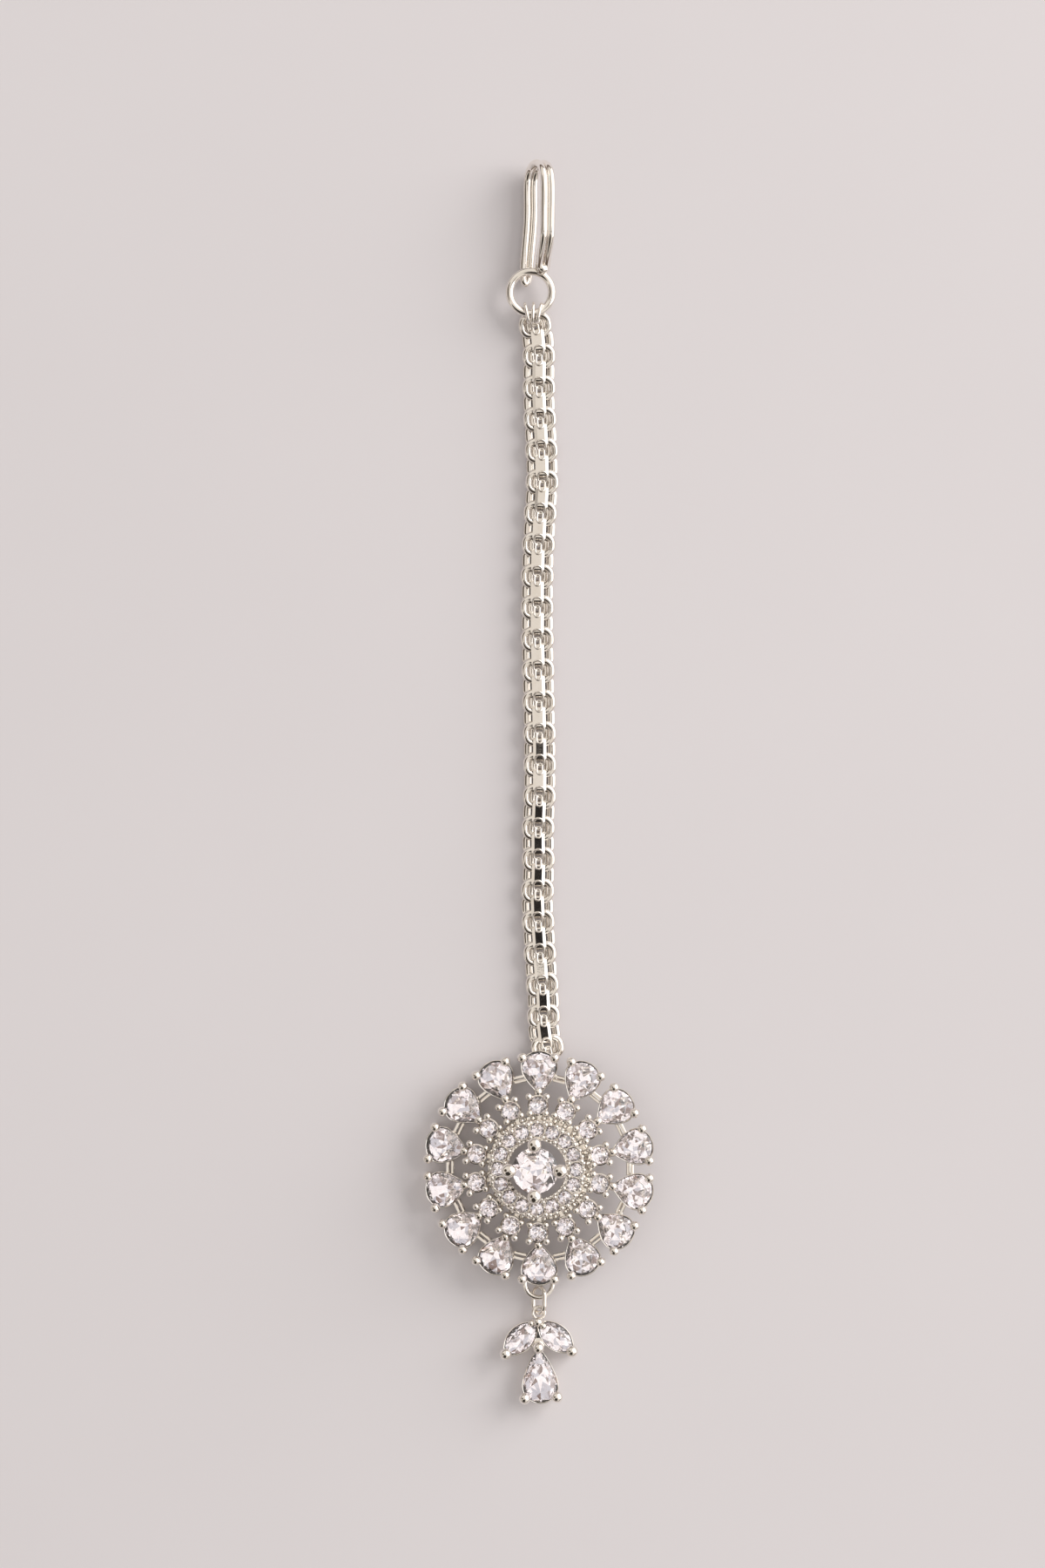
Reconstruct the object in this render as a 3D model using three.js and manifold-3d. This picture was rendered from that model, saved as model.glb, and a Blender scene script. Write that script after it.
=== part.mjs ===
// Maang tikka lying face up: wire hair hook, fancy link chain, tiered stone medallion and a three-stone drop.
// Millimetres. X is across the chain, Y runs up the chain to the hook, Z is up from the surface.

import * as THREE from 'three';
import { mergeVertices } from 'three/addons/utils/BufferGeometryUtils.js';
import Module from 'manifold-3d';

const wasm = await Module();
wasm.setup();

// Clearances
const STONE_GAP = 0.06; // between a stone and the metal round it
const LINK_GAP = 0.12; // between two loose links that hang in each other
const TIER_GAP = 0.1; // between the two tiers of the medallion
const SOLDER = 0.06; // how far soldered pieces run into each other

// Hair hook and its ring
const HOOK_WIRE = 0.86; // diameter
const HOOK_WIRE_GAP = 0.06; // between the two wires of the pair
const HOOK_LENGTH = 11.85; // from the foot to the top of the bend
const HOOK_MOUTH = 3.7; // clear width between the legs
const HOOK_TILT = 65; // degrees that the hook leans up from the surface
const HOOK_TAIL = 2.2; // length of the tail below the foot
const HOOK_X = 0.95; // middle of the lower leg
const HOOK_REST = 0.05; // how far the lower leg stays clear of the surface
const HOOK_FOOT_REACH = 0.4; // from the wire of the ring to the ends of the hook's wire
const HOOK_FOOT_RISE = 0.25; // how much higher those ends are than the ring
const HOOK_FOOT_SIDE = 0.65; // how far those ends stand to the right of the hook's own plane
const HOOK_FOOT_EASE = 0.16; // how much of that is there half way up the shoulder
const HOOK_SHOULDER = 3.4; // from the foot to where the upper leg runs straight
const HOOK_HEEL = 2.4; // from the foot to where the lower leg runs straight
const HOOK_STEPS = 46; // pieces that the bent wire is made of
const PAD_HALF_WIDTH = 0.9; // solder pad that joins both wires to the ring
const PAD_HALF_HEIGHT = 0.6;
const PAD_SPARE_LENGTH = 0.43;
const RING_WIRE = 0.95; // diameter
const RING_RADIUS = 2.42; // to the middle of the wire
const RING_STEP = 0.18; // from the wire of the first side ring to the wire of this ring
const RING_STEPS = 20;

// Chain
const SIDE_RING_WIRE = 0.75; // diameter
const SIDE_RING_WIDTH = 3.8; // outside, across the chain
const SIDE_RING_LENGTH = 2.85; // outside, along the chain
const LINK_PITCH = 3.6; // from one side ring to the next
const PLATE_WIDTH = 1.4;
const PLATE_WALL = 0.3;
const CHAIN_HEIGHT = 1.9;
const END_LINK_WIDTH = 1.6;
const END_LINK_WALL = 0.26;
const CHAIN_ROUTE = [ // middle of the chain from its first to its last side ring
  [1.45, 52.6], [1.8, 50.8], [1.9, 43.8], [2.26, 36.0], [2.0, 30.0], [1.8, 26.5], [1.7, 19.5], [2.0, 1.0],
  [1.8, -5.8], [1.85, -9.8], [1.7, -13.6], [1.9, -17.1], [2.1, -20.8], [2.37, -24.5], [2.47, -28.4], [2.85, -30.2],
];

// Medallion
const MEDALLION_SHIFT = 0.71; // its middle to the left of the last side ring
const TOP_BAR_STEP = 1.65; // its top loop bar above the middle of the top pear
const MEDALLION_TILT = 7; // degrees, the right side is propped up
const PETALS = 14;
const PETAL_GAP = 0.47; // between the collets of two pears
const PEAR_WIDTH = 4.0;
const PEAR_LENGTH = 4.7;
const PEAR_GIRDLE = 2.05; // height of the girdle above the feet of the frame
const PEAR_CROWN = 0.5;
const PEAR_DEPTH = 1.45;
const ROUND_STEP = 0.43; // between the tip of a pear and its round stone
const ROUND_DIAMETER = 1.8;
const ROUND_GIRDLE = 3.0;
const ROUND_CROWN = 0.32;
const ROUND_DEPTH = 0.75;
const ROUND_RIM = 0.34; // metal that shows outside a round stone
const COLLET_RIM = 0.2; // metal that shows outside a girdle
const COLLET_LEDGE = 0.15; // metal that reaches in under a girdle
const COLLET_DROP = 0.12; // how far a collet's rim stays below its stone, besides the gap
const PRONG_WIRE = 0.58;
const PRONG_BALL = 1.1; // diameter
const PRONG_OVERHANG = 0.25; // how far a ball reaches in over its stone
const PRONG_TURN = 36; // degrees round the shoulder of a pear
const TIP_BALL = 0.88; // diameter of the ball at a pear's tip
const TIP_OVERHANG = 0.17; // how far in from the tip the middle of that ball is
const SMALL_PRONG_WIRE = 0.42;
const SMALL_BALL = 0.76;
const SMALL_BALL_RISE = 0.3; // middle of a small ball above its girdle
const SMALL_BALL_ROOT = 0.6; // how deep it is rooted in its collet
const SMALL_BALL_TURNS = [43, 137, 225, 315]; // degrees round a round stone
const BAR_WIDTH = 0.35;
const BAR_HEIGHT = 0.42;
const BAR_BITE = 0.59; // how far a bar reaches into each collet
const BAR_INSET = 0.35; // from the middle of a pear in to the upper bar
const BAR_STEP = 0.45; // from the upper bar in to the lower bar
const BAR_SINK = 0.5; // top of the upper bar below the girdles
const BAR_REST = 0.1; // lower bar above the feet of the frame
const LOOP_BAR = 0.5; // thickness of the bar that carries a hanging loop
const SEAT_STEP = 0.67; // from the middle of a round stone in to the seat ring
const SEAT_WIDTH = 1.6;
const SEAT_BASE = 1.0;
const SEAT_TOP = 1.8;

// Halo tier and centre stone
const HALO_SEAT = 0.65; // how far the halo reaches out over the seat ring
const HALO_TOP = 4.1;
const HALO_PLATE = 0.6;
const HALO_SKIRT = 0.6;
const HALO_TAPER = 0.15; // how much narrower the foot of the skirt is than its top
const HALO_SIDES = 24;
const HALO_STONES = 16;
const HALO_STONE = 1.62; // diameter
const HALO_STONE_CROWN = 0.34;
const HALO_STONE_SHIFT = 0.08; // outwards from the middle of the ring
const CENTRE_DIAMETER = 5.3;
const CENTRE_GIRDLE = 5.55;
const CENTRE_CROWN = 0.8;
const CENTRE_DEPTH = 2.1;
const CLAW_WIRE = 0.66;
const CLAW_WIDTH = 1.6;
const CLAW_THICKNESS = 1.2;
const CLAW_OVERHANG = 0.62; // how far a claw's head reaches in over the stone
const CLAW_LEAN = 0.12; // middle of the head in from the stem
const CLAW_TOUCH = 0.5; // where the head comes nearest the stone, in from its edge

// Loose links and the drop
const JUMP_RING_WIRE = 0.6;
const JUMP_RING_RADIUS = 1.6; // to the middle of the wire
const JUMP_RING_LEVEL = 0.95;
const JUMP_RING_SHIFT = 0.27; // to the left of the medallion's middle
const JUMP_RING_DROP = 0.1; // middle of the ring below the bottom pear
const BAIL_WIRE = 0.55;
const BAIL_LENGTH = 3.55;
const BAIL_WIDTH = 2.55;
const BAIL_TILT = 50; // degrees from lying flat
const BAIL_SLACK = 0.55; // how far the bail has slid up along the jump ring's wire
const DROP_LOOP_WIRE = 0.4;
const DROP_LEAN = 2.5; // degrees that the drop has swung
const DROP_POST_SHIFT = 0.2; // the post stands this far to the left of its loop
const DROP_SPREAD = 47.5; // degrees between each marquise and the pear
const DROP_GIRDLE = 1.65;
const DROP_CROWN = 0.5;
const DROP_DEPTH = 1.3;
const MARQUISE_LENGTH = 4.9;
const MARQUISE_WIDTH = 2.7;
const DROP_PEAR_LENGTH = 6.2;
const DROP_PEAR_WIDTH = 3.9;
const DROP_BALL = 1.3;
const DROP_OVERHANG = 0.3; // how far a ball reaches in over the drop pear
const DROP_POST_BALL = 1.1;
const DROP_POST_RISE = 0.45; // top of the post above the girdles
const MARQUISE_STEP = 0.3; // from the post to the near tips of the marquises
const DROP_PEAR_STEP = 3.05; // from the post to the tip of the drop pear
const TIP_CLAW_STEP = 0.36; // stem of a tip claw outside its tip
const MARQUISE_CLAW_LEAN = 0.41; // how far in its ball leans
const PEAR_CLAW_LEAN = 0.24;
const HUB_STEP = 0.45; // middle of the hub above the tip of the drop pear
const DROP_PRONG_TURN = 36; // degrees below the shoulder of the pear
const DROP_POST = 0.9; // diameter of the post that the marquises spread from
const DROP_HUB = 1.45; // diameter of the hub between the marquises and the tip of the pear

const GIRDLE_BAND = 0.1; // thickness of every girdle
const TABLE_SHARE = 0.6; // table of a stone as a share of its width
const WIRE_SIDES = 6;
const LINK_SIDES = 5;
const LINK_STEPS = 10;
const BALL_SIDES = 6;

// Radii from the middle of the medallion
const PEAR_RADIUS = (PEAR_WIDTH + 2 * COLLET_RIM + PETAL_GAP) / (2 * Math.sin(Math.PI / PETALS));
const ROUND_RADIUS = PEAR_RADIUS - PEAR_LENGTH / 2 - ROUND_STEP - ROUND_DIAMETER / 2;
const SEAT_OUTER = ROUND_RADIUS - SEAT_STEP;
const SEAT_INNER = SEAT_OUTER - SEAT_WIDTH;
const HALO_OUTER = SEAT_INNER + HALO_SEAT;
const CLAW_RADIUS = CENTRE_DIAMETER / 2 + STONE_GAP + CLAW_WIRE / 2;
const HALO_HOLE = CLAW_RADIUS + CLAW_WIRE / 2 - SOLDER;

const SILVER = new THREE.MeshStandardMaterial({ color: 0xdcd4c2, roughness: 0.16, metalness: 1 });
const CRYSTAL = new THREE.MeshStandardMaterial({ color: 0xf2eef0, roughness: 0.04, metalness: 0 });

const radians = THREE.MathUtils.degToRad;

// Solids

function solidOf(geometry) {
  const plain = geometry.clone();
  plain.deleteAttribute('normal');
  plain.deleteAttribute('uv');
  const merged = mergeVertices(plain, 1e-4);
  return new wasm.Manifold(new wasm.Mesh({
    numProp: 3,
    vertProperties: new Float32Array(merged.attributes.position.array),
    triVerts: new Uint32Array(merged.index.array),
  }));
}

function geometryOf(solid) {
  const mesh = solid.getMesh();
  const geometry = new THREE.BufferGeometry();
  geometry.setAttribute('position', new THREE.BufferAttribute(mesh.vertProperties, 3));
  geometry.setIndex(new THREE.BufferAttribute(mesh.triVerts, 1));
  return geometry;
}

function solder(geometries) {
  const joined = geometries.map(solidOf).reduce((whole, piece) => whole.add(piece));
  return geometryOf(joined.simplify(0.01));
}

// Outlines

function pearOutline(width, length, grow = 0) {
  const half = width / 2 + grow;
  const tip = -length / 2 - grow * 1.4;
  const shoulder = length / 2 - width / 2;
  const outline = new THREE.Shape();
  outline.moveTo(0, tip);
  outline.bezierCurveTo(half * 0.55, tip * 0.78, half, shoulder - half * 0.75, half, shoulder);
  outline.absarc(0, shoulder, half, 0, Math.PI);
  outline.bezierCurveTo(-half, shoulder - half * 0.75, -half * 0.55, tip * 0.78, 0, tip);
  return outline.getPoints(3).slice(0, -1);
}

function marquiseOutline(width, length, grow = 0) {
  const half = width / 2 + grow;
  const tip = length / 2 + grow * 1.6;
  const outline = new THREE.Shape();
  outline.moveTo(0, -tip);
  outline.bezierCurveTo(half * 1.34, -tip * 0.5, half * 1.34, tip * 0.5, 0, tip);
  outline.bezierCurveTo(-half * 1.34, tip * 0.5, -half * 1.34, -tip * 0.5, 0, -tip);
  return outline.getPoints(6).slice(0, -1);
}

function roundOutline(diameter, sides, grow = 0) {
  const outline = new THREE.Shape();
  outline.absarc(0, 0, diameter / 2 + grow, 0, 2 * Math.PI);
  return outline.getPoints(sides / 2).slice(0, -1);
}

// Stones and walls

function stone(outline, crown, depth, girdle = 0) {
  const count = outline.length;
  const rows = [[TABLE_SHARE, crown + girdle / 2], [1, girdle / 2]];
  if (girdle > 0) rows.push([1, -girdle / 2]);
  const positions = rows.flatMap(([share, z]) => outline.flatMap((p) => [p.x * share, p.y * share, z]));
  const top = positions.length / 3;
  positions.push(0, 0, crown + girdle / 2, 0, 0, -girdle / 2 - depth);
  const lowest = (rows.length - 1) * count;
  const faces = [];
  for (let i = 0; i < count; i++) {
    const next = (i + 1) % count;
    faces.push(top, i, next, top + 1, lowest + next, lowest + i);
    for (let row = 0; row < rows.length - 1; row++) {
      const high = row * count;
      const low = high + count;
      faces.push(high + i, low + i, low + next, high + i, low + next, high + next);
    }
  }
  const geometry = new THREE.BufferGeometry();
  geometry.setAttribute('position', new THREE.Float32BufferAttribute(positions, 3));
  geometry.setIndex(faces);
  return geometry;
}

function wall(outer, inner, bottom, top) {
  const ring = new THREE.Shape(outer);
  ring.holes.push(new THREE.Path(inner));
  const geometry = new THREE.ExtrudeGeometry(ring, { depth: top - bottom, bevelEnabled: false });
  return geometry.translate(0, 0, bottom);
}

function box(width, length, bottom, top) {
  return new THREE.BoxGeometry(width, length, top - bottom).translate(0, 0, (top + bottom) / 2);
}

function post(x, y, diameter, bottom, top, sides = BALL_SIDES) {
  const geometry = new THREE.CylinderGeometry(diameter / 2, diameter / 2, top - bottom, sides);
  return geometry.rotateX(Math.PI / 2).translate(x, y, (top + bottom) / 2);
}

function turned(profile, sides) {
  const points = profile.map(([r, z]) => new THREE.Vector2(r, z));
  return new THREE.LatheGeometry(points, sides).rotateX(Math.PI / 2);
}

function ball(x, y, z, diameter) {
  return new THREE.IcosahedronGeometry(diameter / 2, 0).translate(x, y, z);
}

// A straight stem with a ball head that leans over by a given step, one of its edges turned to face
function claw(stem, lean, wire, head, bottom, level, sides, face = Math.PI / 2) {
  const neck = level - head / 2;
  const geometry = turned([
    [0, bottom], [wire / 2, bottom], [wire / 2, neck], [head / 2, level], [0, level + head / 2]], sides);
  geometry.rotateZ(face + Math.PI / 2);
  const places = geometry.attributes.position;
  for (let i = 0; i < places.count; i++) {
    if (places.getZ(i) > neck + SOLDER) {
      places.setXYZ(i, places.getX(i) + lean[0], places.getY(i) + lean[1], places.getZ(i));
    }
  }
  return geometry.translate(stem[0], stem[1], 0);
}

// A claw just outside a round edge, whose head reaches in over that edge
function prong(middle, turn, edge, wire, head, overhang, bottom, level, sides = 5) {
  const stem = edge + STONE_GAP + wire / 2;
  const lean = edge + head / 2 - overhang - stem;
  const [x, y] = [Math.cos(turn), Math.sin(turn)];
  const foot = [middle[0] + x * stem, middle[1] + y * stem];
  return claw(foot, [x * lean, y * lean], wire, head, bottom, level, sides, turn + Math.PI);
}

// An oval wire ring that lies flat, widened from a circle by moving its two sides apart
function ovalRing(width, length, wire, sides = LINK_SIDES, steps = LINK_STEPS) {
  const radius = (Math.min(width, length) - wire) / 2;
  const geometry = new THREE.TorusGeometry(radius, wire / 2, sides, steps);
  const places = geometry.attributes.position;
  const spareX = Math.max(0, width - length) / 2;
  const spareY = Math.max(0, length - width) / 2;
  for (let i = 0; i < places.count; i++) {
    const reach = Math.hypot(places.getX(i), places.getY(i));
    places.setX(i, places.getX(i) * (1 + spareX / reach));
    places.setY(i, places.getY(i) * (1 + spareY / reach));
  }
  return geometry;
}

// A flat strip bent into a rectangular loop that stands on edge along Y, its corners cut
function boxLink(width, length, height, strip) {
  const corner = strip * 1.3;
  const outline = (halfLength, halfHeight, cut) => [
    [halfLength - cut, -halfHeight], [halfLength, cut - halfHeight], [halfLength, halfHeight - cut],
    [halfLength - cut, halfHeight], [cut - halfLength, halfHeight], [-halfLength, halfHeight - cut],
    [-halfLength, cut - halfHeight], [cut - halfLength, -halfHeight],
  ].map(([y, z]) => new THREE.Vector2(y, z));
  const outer = outline(length / 2, height / 2, corner);
  const inner = [[1, -1], [1, 1], [-1, 1], [-1, -1]].map(([y, z]) => new THREE.Vector2(
    y * (length / 2 - strip), z * (height / 2 - strip)));
  const geometry = wall(outer, inner, -width / 2, width / 2);
  return geometry.applyMatrix4(new THREE.Matrix4().set(0, 0, 1, 0, 1, 0, 0, 0, 0, 1, 0, 0, 0, 0, 0, 1));
}

// Chain

const RING_LEVEL = CHAIN_HEIGHT / 2;

const chainCurve = new THREE.CatmullRomCurve3(
  CHAIN_ROUTE.map(([x, y]) => new THREE.Vector3(x, y, 0)), false, 'centripetal');
const chainLinks = Math.round(chainCurve.getLength() / LINK_PITCH);

function onChain(geometry, share, level) {
  const place = chainCurve.getPointAt(share);
  const along = chainCurve.getTangentAt(share);
  return geometry.rotateZ(Math.atan2(along.x, -along.y)).translate(place.x, place.y, level);
}

function chain() {
  const pitch = chainCurve.getLength() / chainLinks;
  const hole = pitch / 2 - SIDE_RING_LENGTH / 2 + SIDE_RING_WIRE - SOLDER;
  const plateLength = 2 * (hole + PLATE_WALL);
  const pieces = [];
  for (let i = 0; i <= chainLinks; i++) {
    const sideRing = ovalRing(SIDE_RING_WIDTH, SIDE_RING_LENGTH, SIDE_RING_WIRE);
    pieces.push(onChain(sideRing, i / chainLinks, RING_LEVEL));
    if (i < chainLinks) {
      const plate = boxLink(PLATE_WIDTH, plateLength, CHAIN_HEIGHT, PLATE_WALL);
      pieces.push(onChain(plate, (i + 0.5) / chainLinks, RING_LEVEL));
    }
  }
  pieces.push(endLink());
  return solder(pieces);
}

// The small standing link that ties the first side ring under the hook's ring
function endLink() {
  const under = firstRing.y + SIDE_RING_LENGTH / 2 - SIDE_RING_WIRE;
  const inside = RING_RADIUS - RING_WIRE / 2;
  const side = END_LINK_WIDTH / 2 + Math.abs(hookRing.x - firstRing.x) / 2;
  const over = hookRing.y - Math.sqrt(inside ** 2 - side ** 2) + LINK_GAP;
  const floor = RING_LEVEL - SIDE_RING_WIRE / 2 + SOLDER;
  const ceiling = hookRing.z + RING_WIRE / 2 + LINK_GAP;
  const length = over - under + LINK_GAP + 2 * END_LINK_WALL;
  const link = boxLink(END_LINK_WIDTH, length, ceiling - floor + 2 * END_LINK_WALL, END_LINK_WALL);
  return link.translate((hookRing.x + firstRing.x) / 2, (over + under - LINK_GAP) / 2, (ceiling + floor) / 2);
}

// Hair hook

const firstRing = chainCurve.getPointAt(0);
const lastRing = chainCurve.getPointAt(1);
const hookRing = new THREE.Vector3(
  HOOK_X,
  firstRing.y + SIDE_RING_LENGTH / 2 + RING_RADIUS - SIDE_RING_WIRE / 2 + RING_STEP,
  RING_LEVEL + SIDE_RING_WIRE / 2 + LINK_GAP + RING_WIRE / 2);

function hookPath() {
  const tilt = radians(HOOK_TILT);
  const across = new THREE.Vector3(Math.cos(tilt), 0, Math.sin(tilt));
  const normal = new THREE.Vector3(-Math.sin(tilt), 0, Math.cos(tilt));
  const spacing = HOOK_WIRE + HOOK_WIRE_GAP;
  const legs = HOOK_MOUTH + HOOK_WIRE;
  const bend = legs / 2;
  const foot = hookRing.y + RING_RADIUS + HOOK_FOOT_REACH;
  const top = foot + HOOK_LENGTH - bend;
  const low = new THREE.Vector3(HOOK_X, 0, HOOK_WIRE / 2 + (spacing / 2) * normal.z + HOOK_REST);
  const at = (u, v, side) => low.clone()
    .addScaledVector(across, v)
    .addScaledVector(normal, (side * spacing) / 2)
    .setY(u);
  const footHeight = (hookRing.z - low.z) / across.z + HOOK_FOOT_RISE;
  const leg = (side) => {
    const straight = (foot + HOOK_SHOULDER + top) / 2;
    const points = [
      at(foot, footHeight, side).add(new THREE.Vector3(HOOK_FOOT_SIDE, 0, 0)),
      at(foot + HOOK_SHOULDER / 2, legs * 0.75, side).add(new THREE.Vector3(HOOK_FOOT_EASE, 0, 0)),
    ];
    points.push(at(foot + HOOK_SHOULDER, legs, side), at(straight, legs, side));
    for (let i = 0; i <= 6; i++) {
      const turn = (Math.PI * i) / 6;
      points.push(at(top + bend * Math.sin(turn), bend + bend * Math.cos(turn), side));
    }
    points.push(at(straight, 0, side), at(foot + HOOK_HEEL, 0, side), at(foot - HOOK_TAIL * 0.6, 0, side));
    return points;
  };
  const tail = at(foot - HOOK_TAIL, 0, 0);
  return new THREE.CatmullRomCurve3([...leg(1), tail, ...leg(-1).reverse()], false, 'centripetal');
}

function wireAlong(path, diameter, sides, steps) {
  const section = new THREE.Shape();
  for (let i = 0; i < sides; i++) {
    const turn = (2 * Math.PI * (i + 0.5)) / sides;
    const spot = [Math.cos(turn) * (diameter / 2), Math.sin(turn) * (diameter / 2)];
    if (i === 0) section.moveTo(...spot);
    else section.lineTo(...spot);
  }
  section.closePath();
  return new THREE.ExtrudeGeometry(section, { steps, extrudePath: path, bevelEnabled: false });
}

function hairHook() {
  const path = hookPath();
  const start = path.getPointAt(0);
  const end = path.getPointAt(1);
  const foot = start.clone().add(end).multiplyScalar(0.5);
  const ring = new THREE.TorusGeometry(RING_RADIUS, RING_WIRE / 2, WIRE_SIDES, RING_STEPS);
  ring.translate(hookRing.x, hookRing.y, hookRing.z);
  const outwards = new THREE.Vector3(foot.x - hookRing.x, foot.y - hookRing.y, 0);
  const toRing = outwards.setLength(RING_RADIUS).add(hookRing);
  const middle = foot.clone().add(toRing).multiplyScalar(0.5);
  const reach = foot.distanceTo(toRing);
  const pad = new THREE.SphereGeometry(1, 8, 6);
  pad.scale(PAD_HALF_WIDTH, reach / 2 + PAD_SPARE_LENGTH, PAD_HALF_HEIGHT);
  pad.rotateX(Math.atan2(foot.z - toRing.z, foot.y - toRing.y)).translate(middle.x, middle.y, middle.z);
  return solder([wireAlong(path, HOOK_WIRE, WIRE_SIDES, HOOK_STEPS), ring, pad]);
}

// Medallion

const medallionTilt = radians(MEDALLION_TILT);
const footReach = PEAR_RADIUS + PEAR_LENGTH / 2;
const lastWireY = lastRing.y - SIDE_RING_LENGTH / 2 + SIDE_RING_WIRE / 2;
const medallionX = lastRing.x - MEDALLION_SHIFT;
const medallionY = lastWireY - TOP_BAR_STEP - PEAR_RADIUS;
const medallion = new THREE.Group();
medallion.position.set(medallionX, medallionY, footReach * Math.sin(medallionTilt));
medallion.rotation.set(0, -medallionTilt, 0);
medallion.updateMatrixWorld();
const inMedallion = (point) => medallion.worldToLocal(point.clone());

// Height of a stone's crown at a distance in from its edge
function crownRise(inset, halfWidth, crown) {
  return (crown * inset) / (halfWidth * (1 - TABLE_SHARE));
}

const petalAngle = (i) => Math.PI / 2 + (2 * Math.PI * i) / PETALS;

function pearCollet(carriesLoop) {
  const outer = pearOutline(PEAR_WIDTH, PEAR_LENGTH, COLLET_RIM);
  const inner = pearOutline(PEAR_WIDTH, PEAR_LENGTH, -COLLET_LEDGE);
  const rim = PEAR_GIRDLE - GIRDLE_BAND / 2 - STONE_GAP - COLLET_DROP;
  const shoulder = [0, PEAR_LENGTH / 2 - PEAR_WIDTH / 2];
  const sideBall = PEAR_GIRDLE + GIRDLE_BAND + PRONG_BALL / 2 + STONE_GAP;
  const tipY = -PEAR_LENGTH / 2;
  const tipStem = tipY - STONE_GAP - SMALL_PRONG_WIRE / 2;
  const tipRise = crownRise(PRONG_BALL / 2, PEAR_LENGTH / 2, PEAR_CROWN);
  const tipBall = PEAR_GIRDLE + GIRDLE_BAND / 2 + tipRise + PRONG_BALL / 2;
  const pieces = [
    wall(outer, inner, 0, rim),
    claw([0, tipStem], [0, tipY + TIP_OVERHANG - tipStem], SMALL_PRONG_WIRE, TIP_BALL, 0, tipBall, 5),
  ];
  for (const turn of [radians(PRONG_TURN), Math.PI - radians(PRONG_TURN)]) {
    pieces.push(prong(shoulder, turn, PEAR_WIDTH / 2, PRONG_WIRE, PRONG_BALL, PRONG_OVERHANG, 0, sideBall));
  }
  if (carriesLoop !== undefined) {
    pieces.push(box(PEAR_WIDTH - COLLET_LEDGE, LOOP_BAR, 0, LOOP_BAR).translate(0, carriesLoop, 0));
  }
  return pieces;
}

function roundCollet() {
  const rim = ROUND_GIRDLE - GIRDLE_BAND / 2 - STONE_GAP - COLLET_DROP;
  const level = ROUND_GIRDLE + SMALL_BALL_RISE;
  const outer = ROUND_DIAMETER / 2 + ROUND_RIM;
  const pieces = [turned([
    [0, SEAT_BASE], [outer, SEAT_BASE], [outer, rim], [ROUND_DIAMETER / 2 - COLLET_LEDGE, rim],
    [0, rim - ROUND_DEPTH - STONE_GAP]], 8)];
  const reach = ROUND_DIAMETER / 2 + STONE_GAP + SMALL_BALL / 2;
  for (const degrees of SMALL_BALL_TURNS) {
    const bead = turned([[0, rim - SMALL_BALL_ROOT], [SMALL_BALL / 2, level], [0, level + SMALL_BALL / 2]], 4);
    pieces.push(bead.translate(reach, 0, 0).rotateZ(radians(degrees)));
  }
  return pieces;
}

function seatRing() {
  return turned([
    [SEAT_INNER, SEAT_BASE], [SEAT_OUTER, SEAT_BASE], [SEAT_OUTER, SEAT_TOP], [SEAT_INNER, SEAT_TOP],
    [SEAT_INNER, SEAT_BASE]], 2 * PETALS);
}

// A loop that stands along Y and hangs from a bar of the frame round another ring's wire
function hangingLoop(x, y, level, wireInside, barLevel) {
  const hole = wireInside / 2 + LINK_GAP;
  const outer = barLevel - level + SOLDER * 3;
  const wire = outer - hole;
  const loop = new THREE.TorusGeometry((outer + hole) / 2, wire / 2, LINK_SIDES, LINK_STEPS);
  const local = inMedallion(new THREE.Vector3(x, y, level));
  return loop.rotateY(Math.PI / 2).rotateY(medallionTilt).translate(local.x, local.y, local.z);
}

function barLevelAt(x) {
  return medallion.position.z + (x - medallionX) * Math.sin(medallionTilt);
}

const jumpRing = new THREE.Vector3(
  medallionX - JUMP_RING_SHIFT, medallionY - footReach - JUMP_RING_DROP, JUMP_RING_LEVEL);

function medallionFrame() {
  const pieces = [seatRing()];
  const bottomBarStep = medallionY - (jumpRing.y + JUMP_RING_RADIUS) - PEAR_RADIUS;
  for (let i = 0; i < PETALS; i++) {
    const carries = { 0: TOP_BAR_STEP, [PETALS / 2]: bottomBarStep }[i];
    const turn = petalAngle(i) - Math.PI / 2;
    for (const piece of pearCollet(carries)) {
      pieces.push(piece.translate(0, PEAR_RADIUS, 0).rotateZ(turn));
    }
    for (const piece of roundCollet()) {
      pieces.push(piece.translate(0, ROUND_RADIUS, 0).rotateZ(turn));
    }
    pieces.push(...bars(turn + Math.PI / PETALS));
  }
  pieces.push(hangingLoop(lastRing.x, lastWireY, RING_LEVEL, SIDE_RING_WIRE, barLevelAt(lastRing.x)));
  pieces.push(hangingLoop(
    jumpRing.x, jumpRing.y + JUMP_RING_RADIUS, JUMP_RING_LEVEL, JUMP_RING_WIRE, barLevelAt(jumpRing.x)));
  return solder(pieces);
}

// The two short bars that tie one pear collet to the next
function bars(turn) {
  const top = PEAR_GIRDLE - BAR_SINK;
  const radius = PEAR_RADIUS - BAR_INSET;
  const gap = 2 * radius * Math.sin(Math.PI / PETALS) - PEAR_WIDTH - 2 * COLLET_RIM;
  const upper = box(gap + 2 * BAR_BITE, BAR_WIDTH, top - BAR_HEIGHT, top);
  const lower = box(gap + 2 * BAR_BITE, BAR_WIDTH, BAR_REST, BAR_REST + BAR_HEIGHT);
  return [
    upper.translate(0, radius, 0).rotateZ(turn),
    lower.translate(0, radius - BAR_STEP, 0).rotateZ(turn),
  ];
}

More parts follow.
